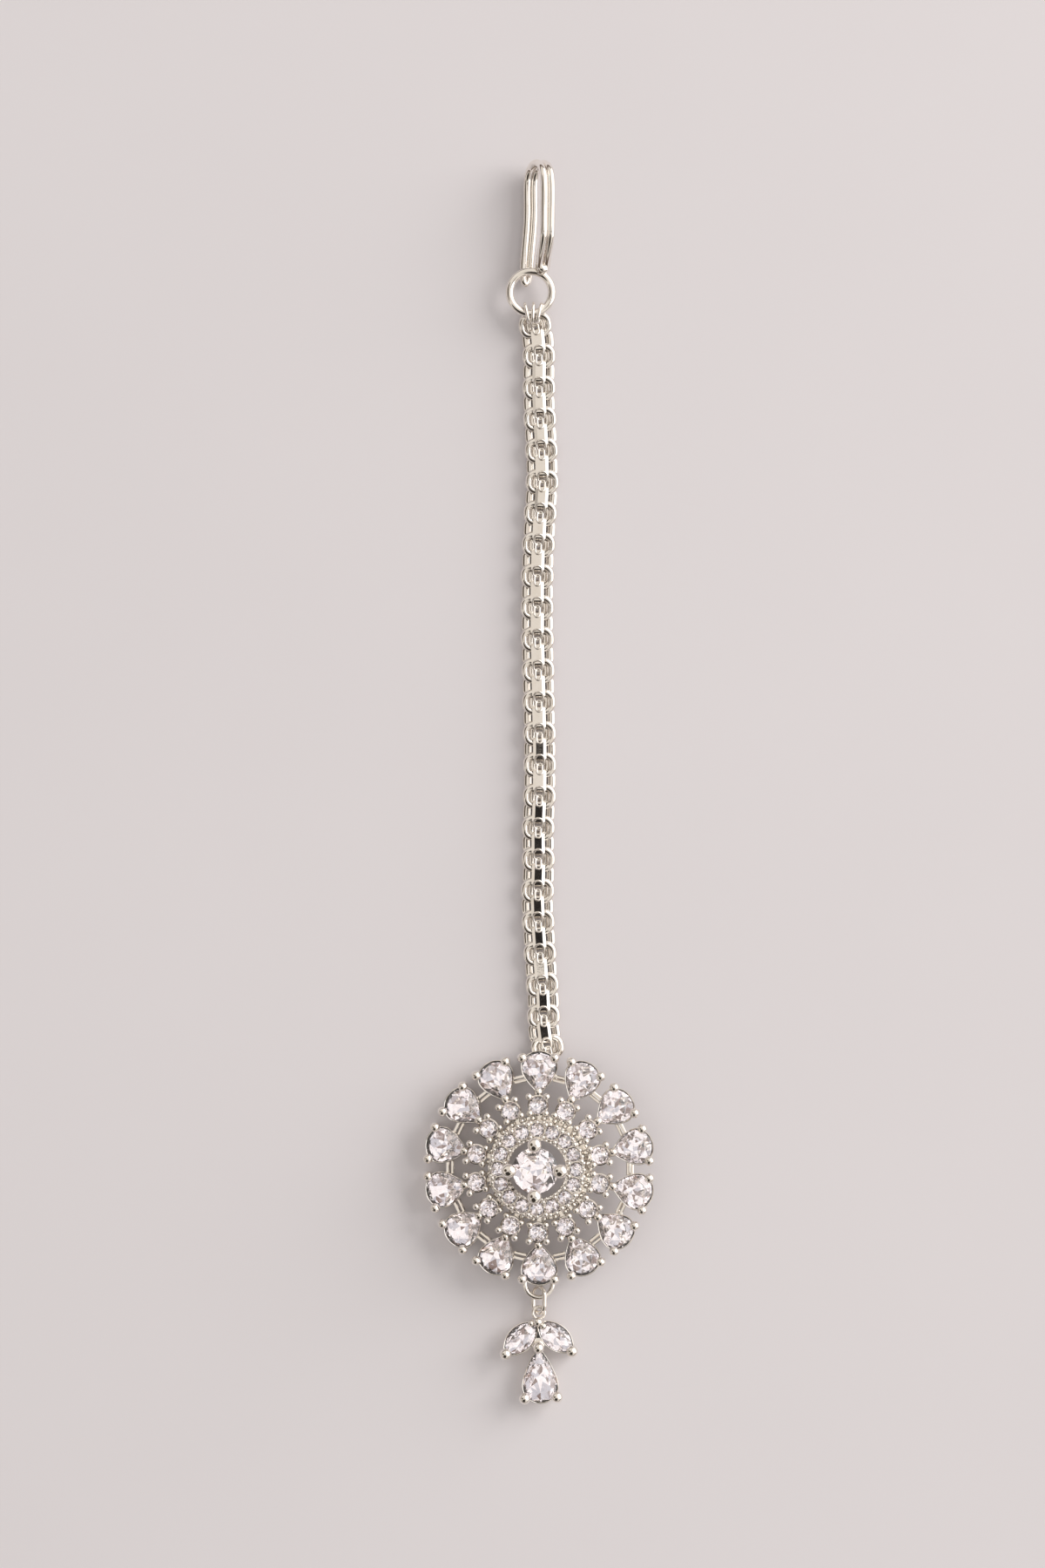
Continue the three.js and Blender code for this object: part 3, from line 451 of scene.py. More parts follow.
def finished(name, clean, worn_and_glint_tint, patch, low, high, bump=0.0, metal=0.0, glass=0.0, ior=1.5, glow=0.0, coat=0.0):
    """A material with patches of a second tint, wear on the silver and a painted pinkish glint in the clear crystal;
    patch is how many of them fit in a metre, low and high are its roughness.
    """
    material, tree, surface = new_material(name)
    even = put(tree, "ShaderNodeGroup", node_tree=FINISH)
    for key, value in (("Clean", (*clean, 1)), ("Worn and glint tint", (*worn_and_glint_tint, 1)), ("Patch size", patch),
                       ("Low roughness", low), ("High roughness", high)):
        even.inputs[key].default_value = value
    tree.links.new(even.outputs["Color"], surface.inputs["Base Color"])
    tree.links.new(even.outputs["Roughness"], surface.inputs["Roughness"])
    if bump:
        relief = put(tree, "ShaderNodeBump", {
            "Height": even.outputs["Height"], "Strength": bump, "Distance": 0.00002})
        tree.links.new(relief.outputs[0], surface.inputs["Normal"])
    if glow:
        tree.links.new(even.outputs["Color"], surface.inputs["Emission Color"])
        surface.inputs["Emission Strength"].default_value = glow
    surface.inputs["Metallic"].default_value = metal
    surface.inputs["Transmission Weight"].default_value = glass
    surface.inputs["IOR"].default_value = ior
    surface.inputs["Coat Weight"].default_value = coat
    surface.inputs["Coat IOR"].default_value = 2.0
    return material


SILVER = finished("silver_plating", (0.95, 0.915, 0.875), (0.90, 0.85, 0.79),
                  patch=900.0, low=0.02, high=0.07, bump=0.04, metal=1.0)
# the pinkish second tint of the clear crystal is a painted glint, a reflection of the warm room in its facets
CRYSTAL = finished("clear_crystal", (1.0, 0.985, 0.985), (0.93, 0.87, 0.86),
                   patch=1400.0, low=0.0, high=0.01, glass=0.94, ior=1.2, coat=0.6)
SILVERED_BACK = finished("silvered_facets", (0.97, 0.955, 0.955), (0.92, 0.88, 0.87),
                         patch=1400.0, low=0.0, high=0.03, metal=1.0)
# the faint glow of the table is painted light, which lifts its shadows and the shade under the piece a little
TABLE = finished("pale_table", (0.655, 0.615, 0.615), (0.645, 0.605, 0.605),
                 patch=18.0, low=0.75, high=0.85, glow=0.03)
DARK = finished("dark_cloth", (0.012, 0.011, 0.011), (0.018, 0.016, 0.015), patch=40.0, low=0.8, high=0.9)


# ---- pieces ----

def piece(name, mesh, material=None, stands_for=()):
    if material:
        mesh.materials.clear()
        mesh.materials.append(material)
    if material is CRYSTAL:
        # the facets below the girdle send the light back up
        mesh.materials.append(SILVERED_BACK)
        for face in mesh.polygons:
            face.material_index = 1 if face.normal.z < -0.1 else 0
    made = bpy.data.objects.new(name, mesh)
    bpy.context.scene.collection.objects.link(made)
    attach(made, "root")
    if stands_for:
        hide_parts(*stands_for)
    return made


def new_tree(name, sizes):
    """A Geometry Nodes tree with one named input for each size; whole numbers make integer inputs."""
    tree = bpy.data.node_groups.new(name, "GeometryNodeTree")
    tree.interface.new_socket("Geometry", in_out="INPUT", socket_type="NodeSocketGeometry")
    for label, value in sizes.items():
        kind = "NodeSocketInt" if isinstance(value, int) else "NodeSocketFloat"
        tree.interface.new_socket(label, in_out="INPUT", socket_type=kind).default_value = value
    tree.interface.new_socket("Finish", in_out="INPUT", socket_type="NodeSocketMaterial")
    tree.interface.new_socket("Geometry", in_out="OUTPUT", socket_type="NodeSocketGeometry")
    return tree, tree.nodes.new("NodeGroupInput").outputs


def close_tree(tree, geometry, given):
    real = put(tree, "GeometryNodeRealizeInstances", {"Geometry": geometry})
    done = put(tree, "GeometryNodeSetMaterial", {"Geometry": real.outputs[0], "Material": given["Finish"]})
    out = tree.nodes.new("NodeGroupOutput")
    tree.links.new(done.outputs[0], out.inputs[0])


def grown(name, start, tree, values):
    """The plain mesh that a tree makes from a starting mesh."""
    holder = bpy.data.objects.new(name + "_start", start)
    bpy.context.scene.collection.objects.link(holder)
    modifier = holder.modifiers.new("grow", "NODES")
    modifier.node_group = tree
    for item in tree.interface.items_tree:
        if item.item_type == "SOCKET" and item.in_out == "INPUT" and item.name in values:
            modifier[item.identifier] = values[item.name]
    ready = holder.evaluated_get(bpy.context.evaluated_depsgraph_get())
    mesh = bpy.data.meshes.new_from_object(ready)
    mesh.name = name
    holder.modifiers.clear()
    bpy.data.objects.remove(holder)
    return mesh


def copies_round_tree():
    """Copies of one piece set round the Z axis."""
    tree, given = new_tree("copies_round", {"Count": PETALS, "First turn": 0.0})
    points = put(tree, "GeometryNodePoints", {"Count": given["Count"]})
    index = put(tree, "GeometryNodeInputIndex")
    whole = put(tree, "ShaderNodeMath", {0: index.outputs[0], 1: 2 * math.pi}, operation="MULTIPLY")
    share = put(tree, "ShaderNodeMath", {0: whole.outputs[0], 1: given["Count"]}, operation="DIVIDE")
    turn = put(tree, "ShaderNodeMath", {0: share.outputs[0], 1: given["First turn"]}, operation="ADD")
    axis = put(tree, "ShaderNodeCombineXYZ", {"Z": turn.outputs[0]})
    copies = put(tree, "GeometryNodeInstanceOnPoints", {
        "Points": points.outputs[0], "Instance": given["Geometry"], "Rotation": axis.outputs[0]})
    close_tree(tree, copies.outputs[0], given)
    return tree


COPIES_ROUND = copies_round_tree()


def copies_round(name, stock, count, material, first=0.0, sharp=32):
    """A ring of copies of what the stock holds, in the medallion's place."""
    start = stock.mesh(name, Matrix.Translation(-SHIFT), sharp)
    mesh = grown(name, start, COPIES_ROUND, {"Count": count, "First turn": first, "Finish": material})
    mesh.transform(Matrix.Translation((MEDALLION + SHIFT) * MM) @ turn_y(-MEDALLION_TILT))
    return mesh


def joined(name, meshes):
    """One mesh that holds several, with the materials of the first."""
    work = bmesh.new()
    for mesh in meshes:
        work.from_mesh(mesh)
    whole = meshes[0].copy()
    work.to_mesh(whole)
    work.free()
    whole.name = name
    return whole


def hook_route():
    """Middle of the hook's wire, from one end at the foot round the tail to the other end."""
    tilt = radians(HOOK_TILT)
    across = Vector((math.cos(tilt), 0, math.sin(tilt)))
    normal = Vector((-math.sin(tilt), 0, math.cos(tilt)))
    spacing = HOOK_WIRE + HOOK_WIRE_GAP
    legs = HOOK_MOUTH + HOOK_WIRE
    bend = legs / 2
    foot = HOOK_RING.y + RING_RADIUS + HOOK_FOOT_REACH
    top = foot + HOOK_LENGTH - bend
    low = Vector((HOOK_X, 0, HOOK_WIRE / 2 + (spacing / 2) * normal.z + HOOK_REST))
    straight = (foot + HOOK_SHOULDER + top) / 2

    def at(u, v, side):
        spot = low + across * v + normal * (side * spacing / 2)
        spot.y = u
        return spot

    foot_height = (HOOK_RING.z - low.z) / across.z + HOOK_FOOT_RISE

    def leg(side):
        points = [at(foot, foot_height, side) + Vector((HOOK_FOOT_SIDE, 0, 0)),
                  at(foot + HOOK_SHOULDER / 2, legs * 0.75, side) + Vector((0.14, 0, 0)),
                  at(foot + HOOK_SHOULDER, legs, side) - Vector((0.07, 0, 0)),
                  at(straight, legs, side)]
        for i in range(7):
            turn = math.pi * i / 6
            points.append(at(top + bend * math.sin(turn), bend + bend * math.cos(turn), side))
        points.append(at(straight, 0, side))
        for rise, left, share in HOOK_TAIL:
            points.append(at(foot + rise, 0, side * share) - Vector((left, 0, 0)))
        return points

    rise, left = HOOK_TAIL_END
    return smooth_route(leg(1) + [at(foot + rise, 0, 0) - Vector((left, 0, 0))] + leg(-1)[::-1], 7)


def make_hook():
    stock = Stock()
    route = hook_route()
    stock.add(tube(route, HOOK_WIRE / 2, 18))
    stock.add(ring(RING_RADIUS, RING_WIRE, 72, 18), move(*HOOK_RING))
    foot = (route[0] + route[-1]) / 2
    # the solder pad runs from inside the two wires to the nearest spot of the ring's wire
    spot = Vector((foot.x - HOOK_RING.x, foot.y - HOOK_RING.y, 0)).normalized() * RING_RADIUS + HOOK_RING
    steps = [foot + (foot - spot) * 0.9, foot, (foot + spot) / 2, spot, spot + (spot - foot) * 0.25]
    stock.add(tube(smooth_route(steps, 5), FOOT_RADII, 18))
    piece("fine_hair_hook", stock.mesh("fine_hair_hook"), SILVER, stands_for=["hair_hook"])


def chain_tree():
    """Links set along a route: wide side rings, flat box links between them, and the thin rings on top."""
    tree, given = new_tree("links_along_route", CHAIN_SIZES)

    def math_node(kind, a, b=0.0):
        return put(tree, "ShaderNodeMath", {0: a, 1: b}, operation=kind).outputs[0]

    def wire_ring(name, steps, round_share, narrower=1.0):
        """A ring of round wire, bent as a rectangle with round corners."""
        wire = given[name + " wire"]
        width = given[name + " width"]
        if narrower != 1.0:
            width = math_node("MULTIPLY", width, narrower)
        across, along = math_node("SUBTRACT", width, wire), math_node("SUBTRACT", given[name + " length"], wire)
        straight = put(tree, "GeometryNodeCurvePrimitiveQuadrilateral", {"Width": across, "Height": along})
        corner = math_node("MULTIPLY", math_node("MINIMUM", across, along), round_share)
        bent = put(tree, "GeometryNodeFilletCurve", {
            "Curve": straight.outputs[0], "Radius": corner, "Count": steps}, mode="POLY")
        profile = put(tree, "GeometryNodeCurvePrimitiveCircle", {
            "Resolution": 14, "Radius": math_node("MULTIPLY", wire, 0.5)})
        return put(tree, "GeometryNodeCurveToMesh", {
            "Curve": bent.outputs[0], "Profile Curve": profile.outputs[0]}).outputs[0]

    def lifted(geometry, level, tilt=0.0, along=0.0):
        step = put(tree, "ShaderNodeCombineXYZ", {"Y": along, "Z": level}).outputs[0]
        return put(tree, "GeometryNodeTransform", {
            "Geometry": geometry, "Translation": step, "Rotation": (tilt, 0, 0)}).outputs[0]

    def flat_ring(name, steps, round_share, rest):
        """A ring pressed flat, on the table or just above it."""
        pressed = put(tree, "GeometryNodeTransform", {
            "Geometry": wire_ring(name, steps, round_share), "Scale": (1, 1, 0.6)}).outputs[0]
        return lifted(pressed, math_node("MULTIPLY", given[name + " wire"], rest))

    side_ring = lifted(wire_ring("Ring", 7, 0.42), given["Level"], -0.09)
    low_ring = flat_ring("Low ring", 6, 0.3, 0.3)
    under = flat_ring("Under ring", 5, 0.4, 0.4)
    # two thin rings over the ends of the box links, a narrow one above and a wide one below
    top = math_node("ADD", given["Plate height"], 0.1)
    thin_rings = put(tree, "GeometryNodeJoinGeometry")
    tree.links.new(lifted(wire_ring("Small ring", 6, 0.47, 0.68), top, 0.3, 0.47), thin_rings.inputs[0])
    tree.links.new(lifted(wire_ring("Small ring", 6, 0.47), top, -0.3, -0.5), thin_rings.inputs[0])
    # box link: a strip bent round a rectangle that stands on edge, flared where it turns down
    loop = put(tree, "GeometryNodeCurvePrimitiveQuadrilateral", {
        "Width": math_node("SUBTRACT", given["Plate length"], given["Plate wall"]),
        "Height": math_node("SUBTRACT", given["Plate height"], given["Plate wall"])})
    bent = put(tree, "GeometryNodeFilletCurve", {
        "Curve": loop.outputs[0], "Radius": given["Plate corner"], "Count": 3}, mode="POLY")
    strip = put(tree, "GeometryNodeCurvePrimitiveQuadrilateral", {
        "Height": given["Plate wall"], "Bottom Width": given["Plate width"], "Top Width": given["Plate top"],
        "Offset": 0.0}, mode="TRAPEZOID")
    strip = put(tree, "GeometryNodeTransform", {"Geometry": strip.outputs[0], "Rotation": (0, 0, PLATE_TURN)})
    box_link = put(tree, "GeometryNodeCurveToMesh", {
        "Curve": bent.outputs[0], "Profile Curve": strip.outputs[0]})
    stood = put(tree, "GeometryNodeTransform", {
        "Geometry": box_link.outputs[0], "Rotation": (math.pi / 2, 0, math.pi / 2)})
    spot = put(tree, "ShaderNodeSeparateXYZ", {0: put(tree, "GeometryNodeInputPosition").outputs[0]})
    half_length = math_node("MULTIPLY", given["Plate length"], 0.5)
    along = math_node("DIVIDE", math_node("ABSOLUTE", spot.outputs["Y"]), half_length)
    flare = math_node("MULTIPLY", math_node("POWER", along, 3.0), given["Plate flare"])
    wider = put(tree, "ShaderNodeCombineXYZ", {"X": math_node("MULTIPLY", spot.outputs["X"], flare)})
    flared = put(tree, "GeometryNodeSetPosition", {"Geometry": stood.outputs[0], "Offset": wider.outputs[0]})
    plate = lifted(flared.outputs[0], math_node("MULTIPLY", given["Plate height"], 0.5))

    # side rings stand at the even places along the route, box links at the odd ones
    route = put(tree, "GeometryNodeMeshToCurve", {"Mesh": given["Geometry"]})
    places = math_node("SUBTRACT", math_node("MULTIPLY", given["Links"], 2.0), 1.0)
    even = put(tree, "GeometryNodeResampleCurve", {"Curve": route.outputs[0], "Count": places}, mode="COUNT")
    odd_one = math_node("MODULO", put(tree, "GeometryNodeInputIndex").outputs[0], 2.0)
    line = put(tree, "FunctionNodeAlignRotationToVector", {
        "Vector": put(tree, "GeometryNodeInputTangent").outputs[0]}, axis="Y", pivot_axis="Z")
    loose = put(tree, "FunctionNodeRandomValue", {
        0: (-1, -1, -1), 1: (1, 1, 1), "Seed": given["Seed"]}, data_type="FLOAT_VECTOR")
    lean = put(tree, "ShaderNodeVectorMath", {
        0: loose.outputs[0], "Scale": given["Wobble"]}, operation="SCALE")

    def along_route(geometry, chosen):
        set_down = put(tree, "GeometryNodeInstanceOnPoints", {
            "Points": even.outputs[0], "Instance": geometry, "Selection": chosen,
            "Rotation": line.outputs[0]})
        return put(tree, "GeometryNodeRotateInstances", {
            "Instances": set_down.outputs[0], "Rotation": lean.outputs[0]}).outputs[0]

    even_one = math_node("SUBTRACT", 1.0, odd_one)
    every = put(tree, "GeometryNodeJoinGeometry")
    for geometry, chosen, smooth in (
            (side_ring, even_one, True), (thin_rings.outputs[0], even_one, True), (under, even_one, True),
            (plate, odd_one, False), (low_ring, odd_one, True)):
        shaded = put(tree, "GeometryNodeSetShadeSmooth", {"Geometry": geometry, "Shade Smooth": smooth})
        tree.links.new(along_route(shaded.outputs[0], chosen), every.inputs[0])
    close_tree(tree, every.outputs[0], given)
    return tree


def make_chain():
    route = smooth_route([(x, y, 0) for x, y in CHAIN_ROUTE], 12)
    start = bpy.data.meshes.new("chain_route")
    start.from_pydata([tuple(p + SHIFT) for p in route], [(i, i + 1) for i in range(len(route) - 1)], [])
    mesh = grown("fine_chain", start, chain_tree(), {"Finish": SILVER})
    mesh.transform(Matrix.Diagonal((MM, MM, MM, 1)))
    # the three small standing rings that tie the first side ring under the hook's ring
    length, height, wire, corner = 2.36, 2.35, 0.4, 0.8
    loop = []
    for along, up, first in ((1, 1, 0), (-1, 1, 90), (-1, -1, 180), (1, -1, 270)):
        for i in range(5):
            turn = radians(first + 90 * i / 4)
            loop.append((0, along * (length / 2 - corner) + corner * math.cos(turn),
                         up * (height / 2 - corner) + corner * math.sin(turn)))
    end = Stock()
    x, y, z = TOP_RINGS
    for side, lean in ((-0.7, 12), (0.0, -3), (0.7, -14)):
        end.add(tube(loop, wire / 2, 12, closed=True), move(x + side, y, z) @ turn_z(lean))
    extra = end.mesh("end_link")
    extra.materials.append(SILVER)
    piece("fine_chain", joined("fine_chain", [mesh, extra]), SILVER, stands_for=["chain"])


def collet(outline, girdle):
    """A setting that narrows to its foot, with a rounded rim round the stone and a ledge under it."""
    rim = girdle + RIM_HEIGHT
    steps = ((0.0, 0.0), (0.1, 0.5), (0.16, girdle - 0.5), (0.17, rim - 0.07), (0.14, rim - 0.01), (0.1, rim),
             (0.05, rim - 0.03), (0.035, rim - 0.1), (0.035, girdle - 0.16), (-0.13, girdle - 0.22), (-0.13, 0.0))
    return loft([[(x, y, z) for x, y in outline(grow)] for grow, z in steps], closed=True)


def stem(x, y, wire, bottom, top):
    """An upright wire, rounded a little at its foot."""
    return tube([(x, y, bottom), (x, y, bottom + 0.05), (x, y, (bottom + top) / 2), (x, y, top)],
                [wire / 2 - 0.05, wire / 2, wire / 2, wire / 2], 12)


def make_medallion_metal():
    petal = Stock()
    out = move(0, PEAR_RADIUS)
    petal.add(collet(lambda grow: pear_outline(PEAR_WIDTH, PEAR_LENGTH, grow), PEAR_GIRDLE), out)
    for side in (-1, 1):
        petal.add(stem(side * 1.9, 1.74, PRONG_WIRE, 0, 2.55), out)
        petal.add(ball((side * 1.86, 1.68, 2.74), 0.57, 20), out)
    petal.add(stem(0, -PEAR_LENGTH / 2 - 0.27, 0.42, 0, 2.4), out)
    petal.add(ball((0, -PEAR_LENGTH / 2 + 0.08, 2.66), 0.52, 16, (1, 1.1, 0.9)), out)
    beside = turn_z(180 / PETALS)  # two upper bars and a low one join each pear to the next
    petal.add(rounded_bar(1.5, 0.38, 1.13, 1.55), beside @ move(0, PEAR_RADIUS - 0.35))
    petal.add(rounded_bar(1.5, 0.34, 0.9, 1.3), beside @ move(0, PEAR_RADIUS - 0.85))
    petal.add(rounded_bar(1.5, 0.35, 0.1, 0.52), beside @ move(0, PEAR_RADIUS - 0.8))
    petal.add(turned(SMALL_COLLET, 24), move(0, ROUND_RADIUS))
    petal.add(rounded_bar(0.7, 0.95, 1.0, 1.42), move(0, 5.86))  # ties the small collet to the seat ring
    for degrees in SMALL_BALL_TURNS:
        x, y = math.cos(radians(degrees)), math.sin(radians(degrees))
        reach = 1.42 if y > 0 else 1.3
        petal.add(stem(x * reach, y * reach, 0.4, 1.3, 3.2), move(0, ROUND_RADIUS))
        petal.add(ball((x * reach, y * reach, 3.32), 0.42, 14), move(0, ROUND_RADIUS))
    parts = [copies_round("petals", petal, PETALS, SILVER)]

    seat = Stock()
    seat.add(turned(SEAT_RING, 112, closed=True))
    # bars that carry the two hanging loops
    seat.add(rounded_bar(3.8, 0.5, 0.0, 0.5), move(0, PEAR_RADIUS + 1.65))
    seat.add(rounded_bar(3.8, 0.5, 0.0, 0.5), move(0, -PEAR_RADIUS - 0.85))
    parts.append(copies_round("seat", seat, 1, SILVER))
    bead = Stock()
    bead.add(stem(0, SEAT_BEAD_RADIUS, 0.44, 1.1, 2.5)).add(ball((0, SEAT_BEAD_RADIUS, 2.62), 0.34, 14))
    parts.append(copies_round("seat_beads", bead, 2 * PETALS, SILVER, first=math.pi / PETALS / 2))

    # one loop round the last side ring of the chain and one round the jump ring
    level = 0.95
    loops = Stock()
    for x, y, hole, top in ((2.85, -31.25, 0.495, 1.89), (1.99, -55.643, 0.42, 1.78)):
        outer = top - level
        loops.add(ring((outer + hole) / 2, outer - hole, 28, 12), move(x, y, level) @ turn_y(90))
    parts.append(loops.mesh("hanging_loops"))
    mesh = joined("fine_medallion_frame", parts)
    piece("fine_medallion_frame", mesh, SILVER, stands_for=["medallion_frame"])


def make_stones():
    pears = [f"pear_stone_{i:02d}" for i in range(1, PETALS + 1)]
    rounds = [f"round_stone_{i:02d}" for i in range(1, PETALS + 1)]
    pear = brilliant(pear_outline(PEAR_WIDTH, PEAR_LENGTH), 0.55, 0.86, PEAR_GIRDLE, table=0.5, start=-math.pi / 2)
    small = brilliant(round_outline(ROUND_DIAMETER), 0.32, 0.4, ROUND_GIRDLE)
    centre = brilliant(round_outline(CENTRE_DIAMETER, steps=64), 0.8, 1.2, CENTRE_GIRDLE, start=0.2)
    halo = brilliant(round_outline(HALO_STONE - 0.1), 0.3, 0.33, HALO_TOP + 0.02, fold=7)
    for name, stone, radius, count, stands_for in (
            ("fine_pear_stones", pear, PEAR_RADIUS, PETALS, pears),
            ("fine_round_stones", small, ROUND_RADIUS, PETALS, rounds),
            ("fine_centre_stone", centre, 0, 1, ["centre_stone"]),
            ("halo_stones", halo, HALO_STONE_RADIUS, HALO_STONES, [])):
        mesh = copies_round(name, Stock().add(stone, move(0, radius)), count, CRYSTAL, sharp=0)
        piece(name, mesh, CRYSTAL, stands_for)


def make_halo():
    body = Stock()
    body.add(turned(HALO_RING, 112, closed=True))
    parts = [copies_round("halo_body", body, 1, SILVER)]
    cup = Stock()
    cup.add(turned(HALO_CUP, 20), move(0, HALO_STONE_RADIUS))
    parts.append(copies_round("halo_cups", cup, HALO_STONES, SILVER))
    grain = Stock()
    grain.add(ball((0, 3.74, 4.24), 0.27, 14)).add(ball((0, 5.2, 4.24), 0.31, 14))
    parts.append(copies_round("halo_grains", grain, HALO_STONES, SILVER, math.pi / HALO_STONES))
    for name, radius, level, bead, count in (
            ("inner_beads", 3.43, 4.1, 0.19, 40), ("outer_beads", 5.36, 3.98, 0.27, 44)):
        edge = Stock().add(ball((0, radius, level), bead, 12))
        parts.append(copies_round(name, edge, count, SILVER))
    claw = Stock()
    claw.add(stem(0, CLAW_RADIUS, 0.66, 3.55, 6.2))
    claw.add(ball((0, 2.93, 6.56), 0.8, 24, (1.0, 1.08, 0.78)))
    parts.append(copies_round("centre_claws", claw, 4, SILVER))
    basket = Stock()
    basket.add(ring(2.2, 0.4, 48, 10), move(0, 0, 4.2))
    for quarter in range(4):
        basket.add(rounded_bar(0.4, 1.2, 4.0, 4.36), turn_z(90 * quarter) @ move(0, 2.75))
    parts.append(copies_round("centre_basket", basket, 1, SILVER))
    piece("fine_halo_tier", joined("fine_halo_tier", parts), SILVER, stands_for=["halo_tier"])


def make_loose_links():
    stock = Stock().add(ring(JUMP_RING_RADIUS, JUMP_RING_WIRE, 56, 14), move(*JUMP_RING))
    piece("fine_jump_ring", stock.mesh("fine_jump_ring"), SILVER, stands_for=["jump_ring"])
    # the bail is two half rings with straight sides between them
    steps, radius, spare = 48, (BAIL_WIDTH - BAIL_WIRE) / 2, (BAIL_LENGTH - BAIL_WIDTH) / 2
    path = []
    for i in range(steps):
        x, y = on_circle(radius, i + 0.5, steps)
        path.append((x, y + math.copysign(spare, y), 0))
    stock = Stock().add(tube(path, BAIL_WIRE / 2, 14, closed=True), move(*BAIL) @ turn_y(-BAIL_TILT))
    piece("fine_bail_link", stock.mesh("fine_bail_link"), SILVER, stands_for=["bail_link"])


def make_drop():
    place = move(*DROP) @ turn_z(DROP_LEAN)
    metal = Stock()
    metal.add(ring(DROP_LOOP_RADIUS, 0.4, 32, 12), place @ move(0, 0, DROP_LOOP_LEVEL))
    place = place @ move(DROP_POST_X, 0)
    metal.add(stem(0, DROP_POST_Y, 0.9, 0, 2.05), place)
    metal.add(ball((0.05, DROP_POST_Y, DROP_GIRDLE + 0.5), 0.56, 18), place)
    metal.add(ball((-0.72, DROP_POST_Y - 0.12, DROP_GIRDLE + 0.25), 0.42, 14), place)
    metal.add(ball((0.62, DROP_POST_Y - 0.5, DROP_GIRDLE + 0.25), 0.42, 14), place)
    stones = {}
    for name, side in (("marquise_left", -1), ("marquise_right", 1)):
        leaf = place @ move(0, DROP_POST_Y) @ turn_z(side * DROP_SPREAD) @ move(0, -MARQUISE_MIDDLE)
        metal.add(collet(lambda grow: marquise_outline(MARQUISE_WIDTH, MARQUISE_LENGTH, grow), DROP_GIRDLE), leaf)
        metal.add(stem(0, -MARQUISE_LENGTH / 2 - 0.36, PRONG_WIRE, 0, DROP_STEM_TOP), leaf)
        metal.add(ball((0, -MARQUISE_LENGTH / 2 + 0.05, DROP_BALL_LEVEL), 0.68, 20), leaf)
        cut = brilliant(marquise_outline(MARQUISE_WIDTH, MARQUISE_LENGTH), 0.5, 0.6, DROP_GIRDLE)
        stones[name] = Stock().add(cut, leaf)
    pear = place @ move(0, DROP_PEAR_Y) @ turn_z(180)
    metal.add(collet(lambda grow: pear_outline(DROP_PEAR_WIDTH, DROP_PEAR_LENGTH, grow), DROP_GIRDLE), pear)
    metal.add(turned([(0.0, 0.0), (0.68, 0.0), (0.72, 0.1), (0.72, DROP_RIM), (0.0, DROP_RIM)], 20),
              pear @ move(0, -DROP_PEAR_LENGTH / 2 - 0.45))
    metal.add(stem(0, -DROP_PEAR_LENGTH / 2 - 0.36, PRONG_WIRE, 1.0, DROP_STEM_TOP), pear)
    metal.add(ball((0, -DROP_PEAR_LENGTH / 2 - 0.1, DROP_BALL_LEVEL), 0.66, 20), pear)
    shoulder = DROP_PEAR_LENGTH / 2 - DROP_PEAR_WIDTH / 2
    for turn in (radians(36), math.pi - radians(36)):
        x, y = math.cos(turn), math.sin(turn)
        metal.add(stem(x * 2.3, shoulder + y * 2.3, PRONG_WIRE, 0, DROP_STEM_TOP), pear)
        metal.add(ball((x * 2.28, shoulder + y * 2.28, DROP_BALL_LEVEL), 0.68, 20), pear)
    piece("fine_drop_setting", metal.mesh("fine_drop_setting"), SILVER, stands_for=["drop_setting"])
    cut = brilliant(pear_outline(DROP_PEAR_WIDTH, DROP_PEAR_LENGTH), 0.5, 0.84, DROP_GIRDLE, fold=9, table=0.5,
                    start=-math.pi / 2)
    stones["drop_pear_stone"] = Stock().add(cut, pear)
    for name, stock in stones.items():
        piece("fine_" + name, stock.mesh("fine_" + name, sharp=0), CRYSTAL, [name])


# ---- table, light and camera ----

def flat_card(name, middle, half_width, half_length, material, seen=True):
    x, y, z = middle
    mesh = bpy.data.meshes.new(name)
    mesh.from_pydata([(x - half_width, y - half_length, z), (x + half_width, y - half_length, z),
                      (x + half_width, y + half_length, z), (x - half_width, y + half_length, z)],
                     [], [(0, 1, 2, 3)])
    mesh.materials.append(material)
    card = bpy.data.objects.new(name, mesh)
    bpy.context.scene.collection.objects.link(card)
    card.visible_camera = seen


def area_light(name, spot, target, width, length, power, colour):
    data = bpy.data.lights.new(name, "AREA")
    data.shape = "RECTANGLE"
    data.size, data.size_y = width, length
    data.energy = power
    data.color = colour
    lamp = bpy.data.objects.new(name, data)
    lamp.location = spot
    lamp.rotation_euler = (Vector(target) - Vector(spot)).to_track_quat("-Z", "Y").to_euler()
    bpy.context.scene.collection.objects.link(lamp)
    return lamp


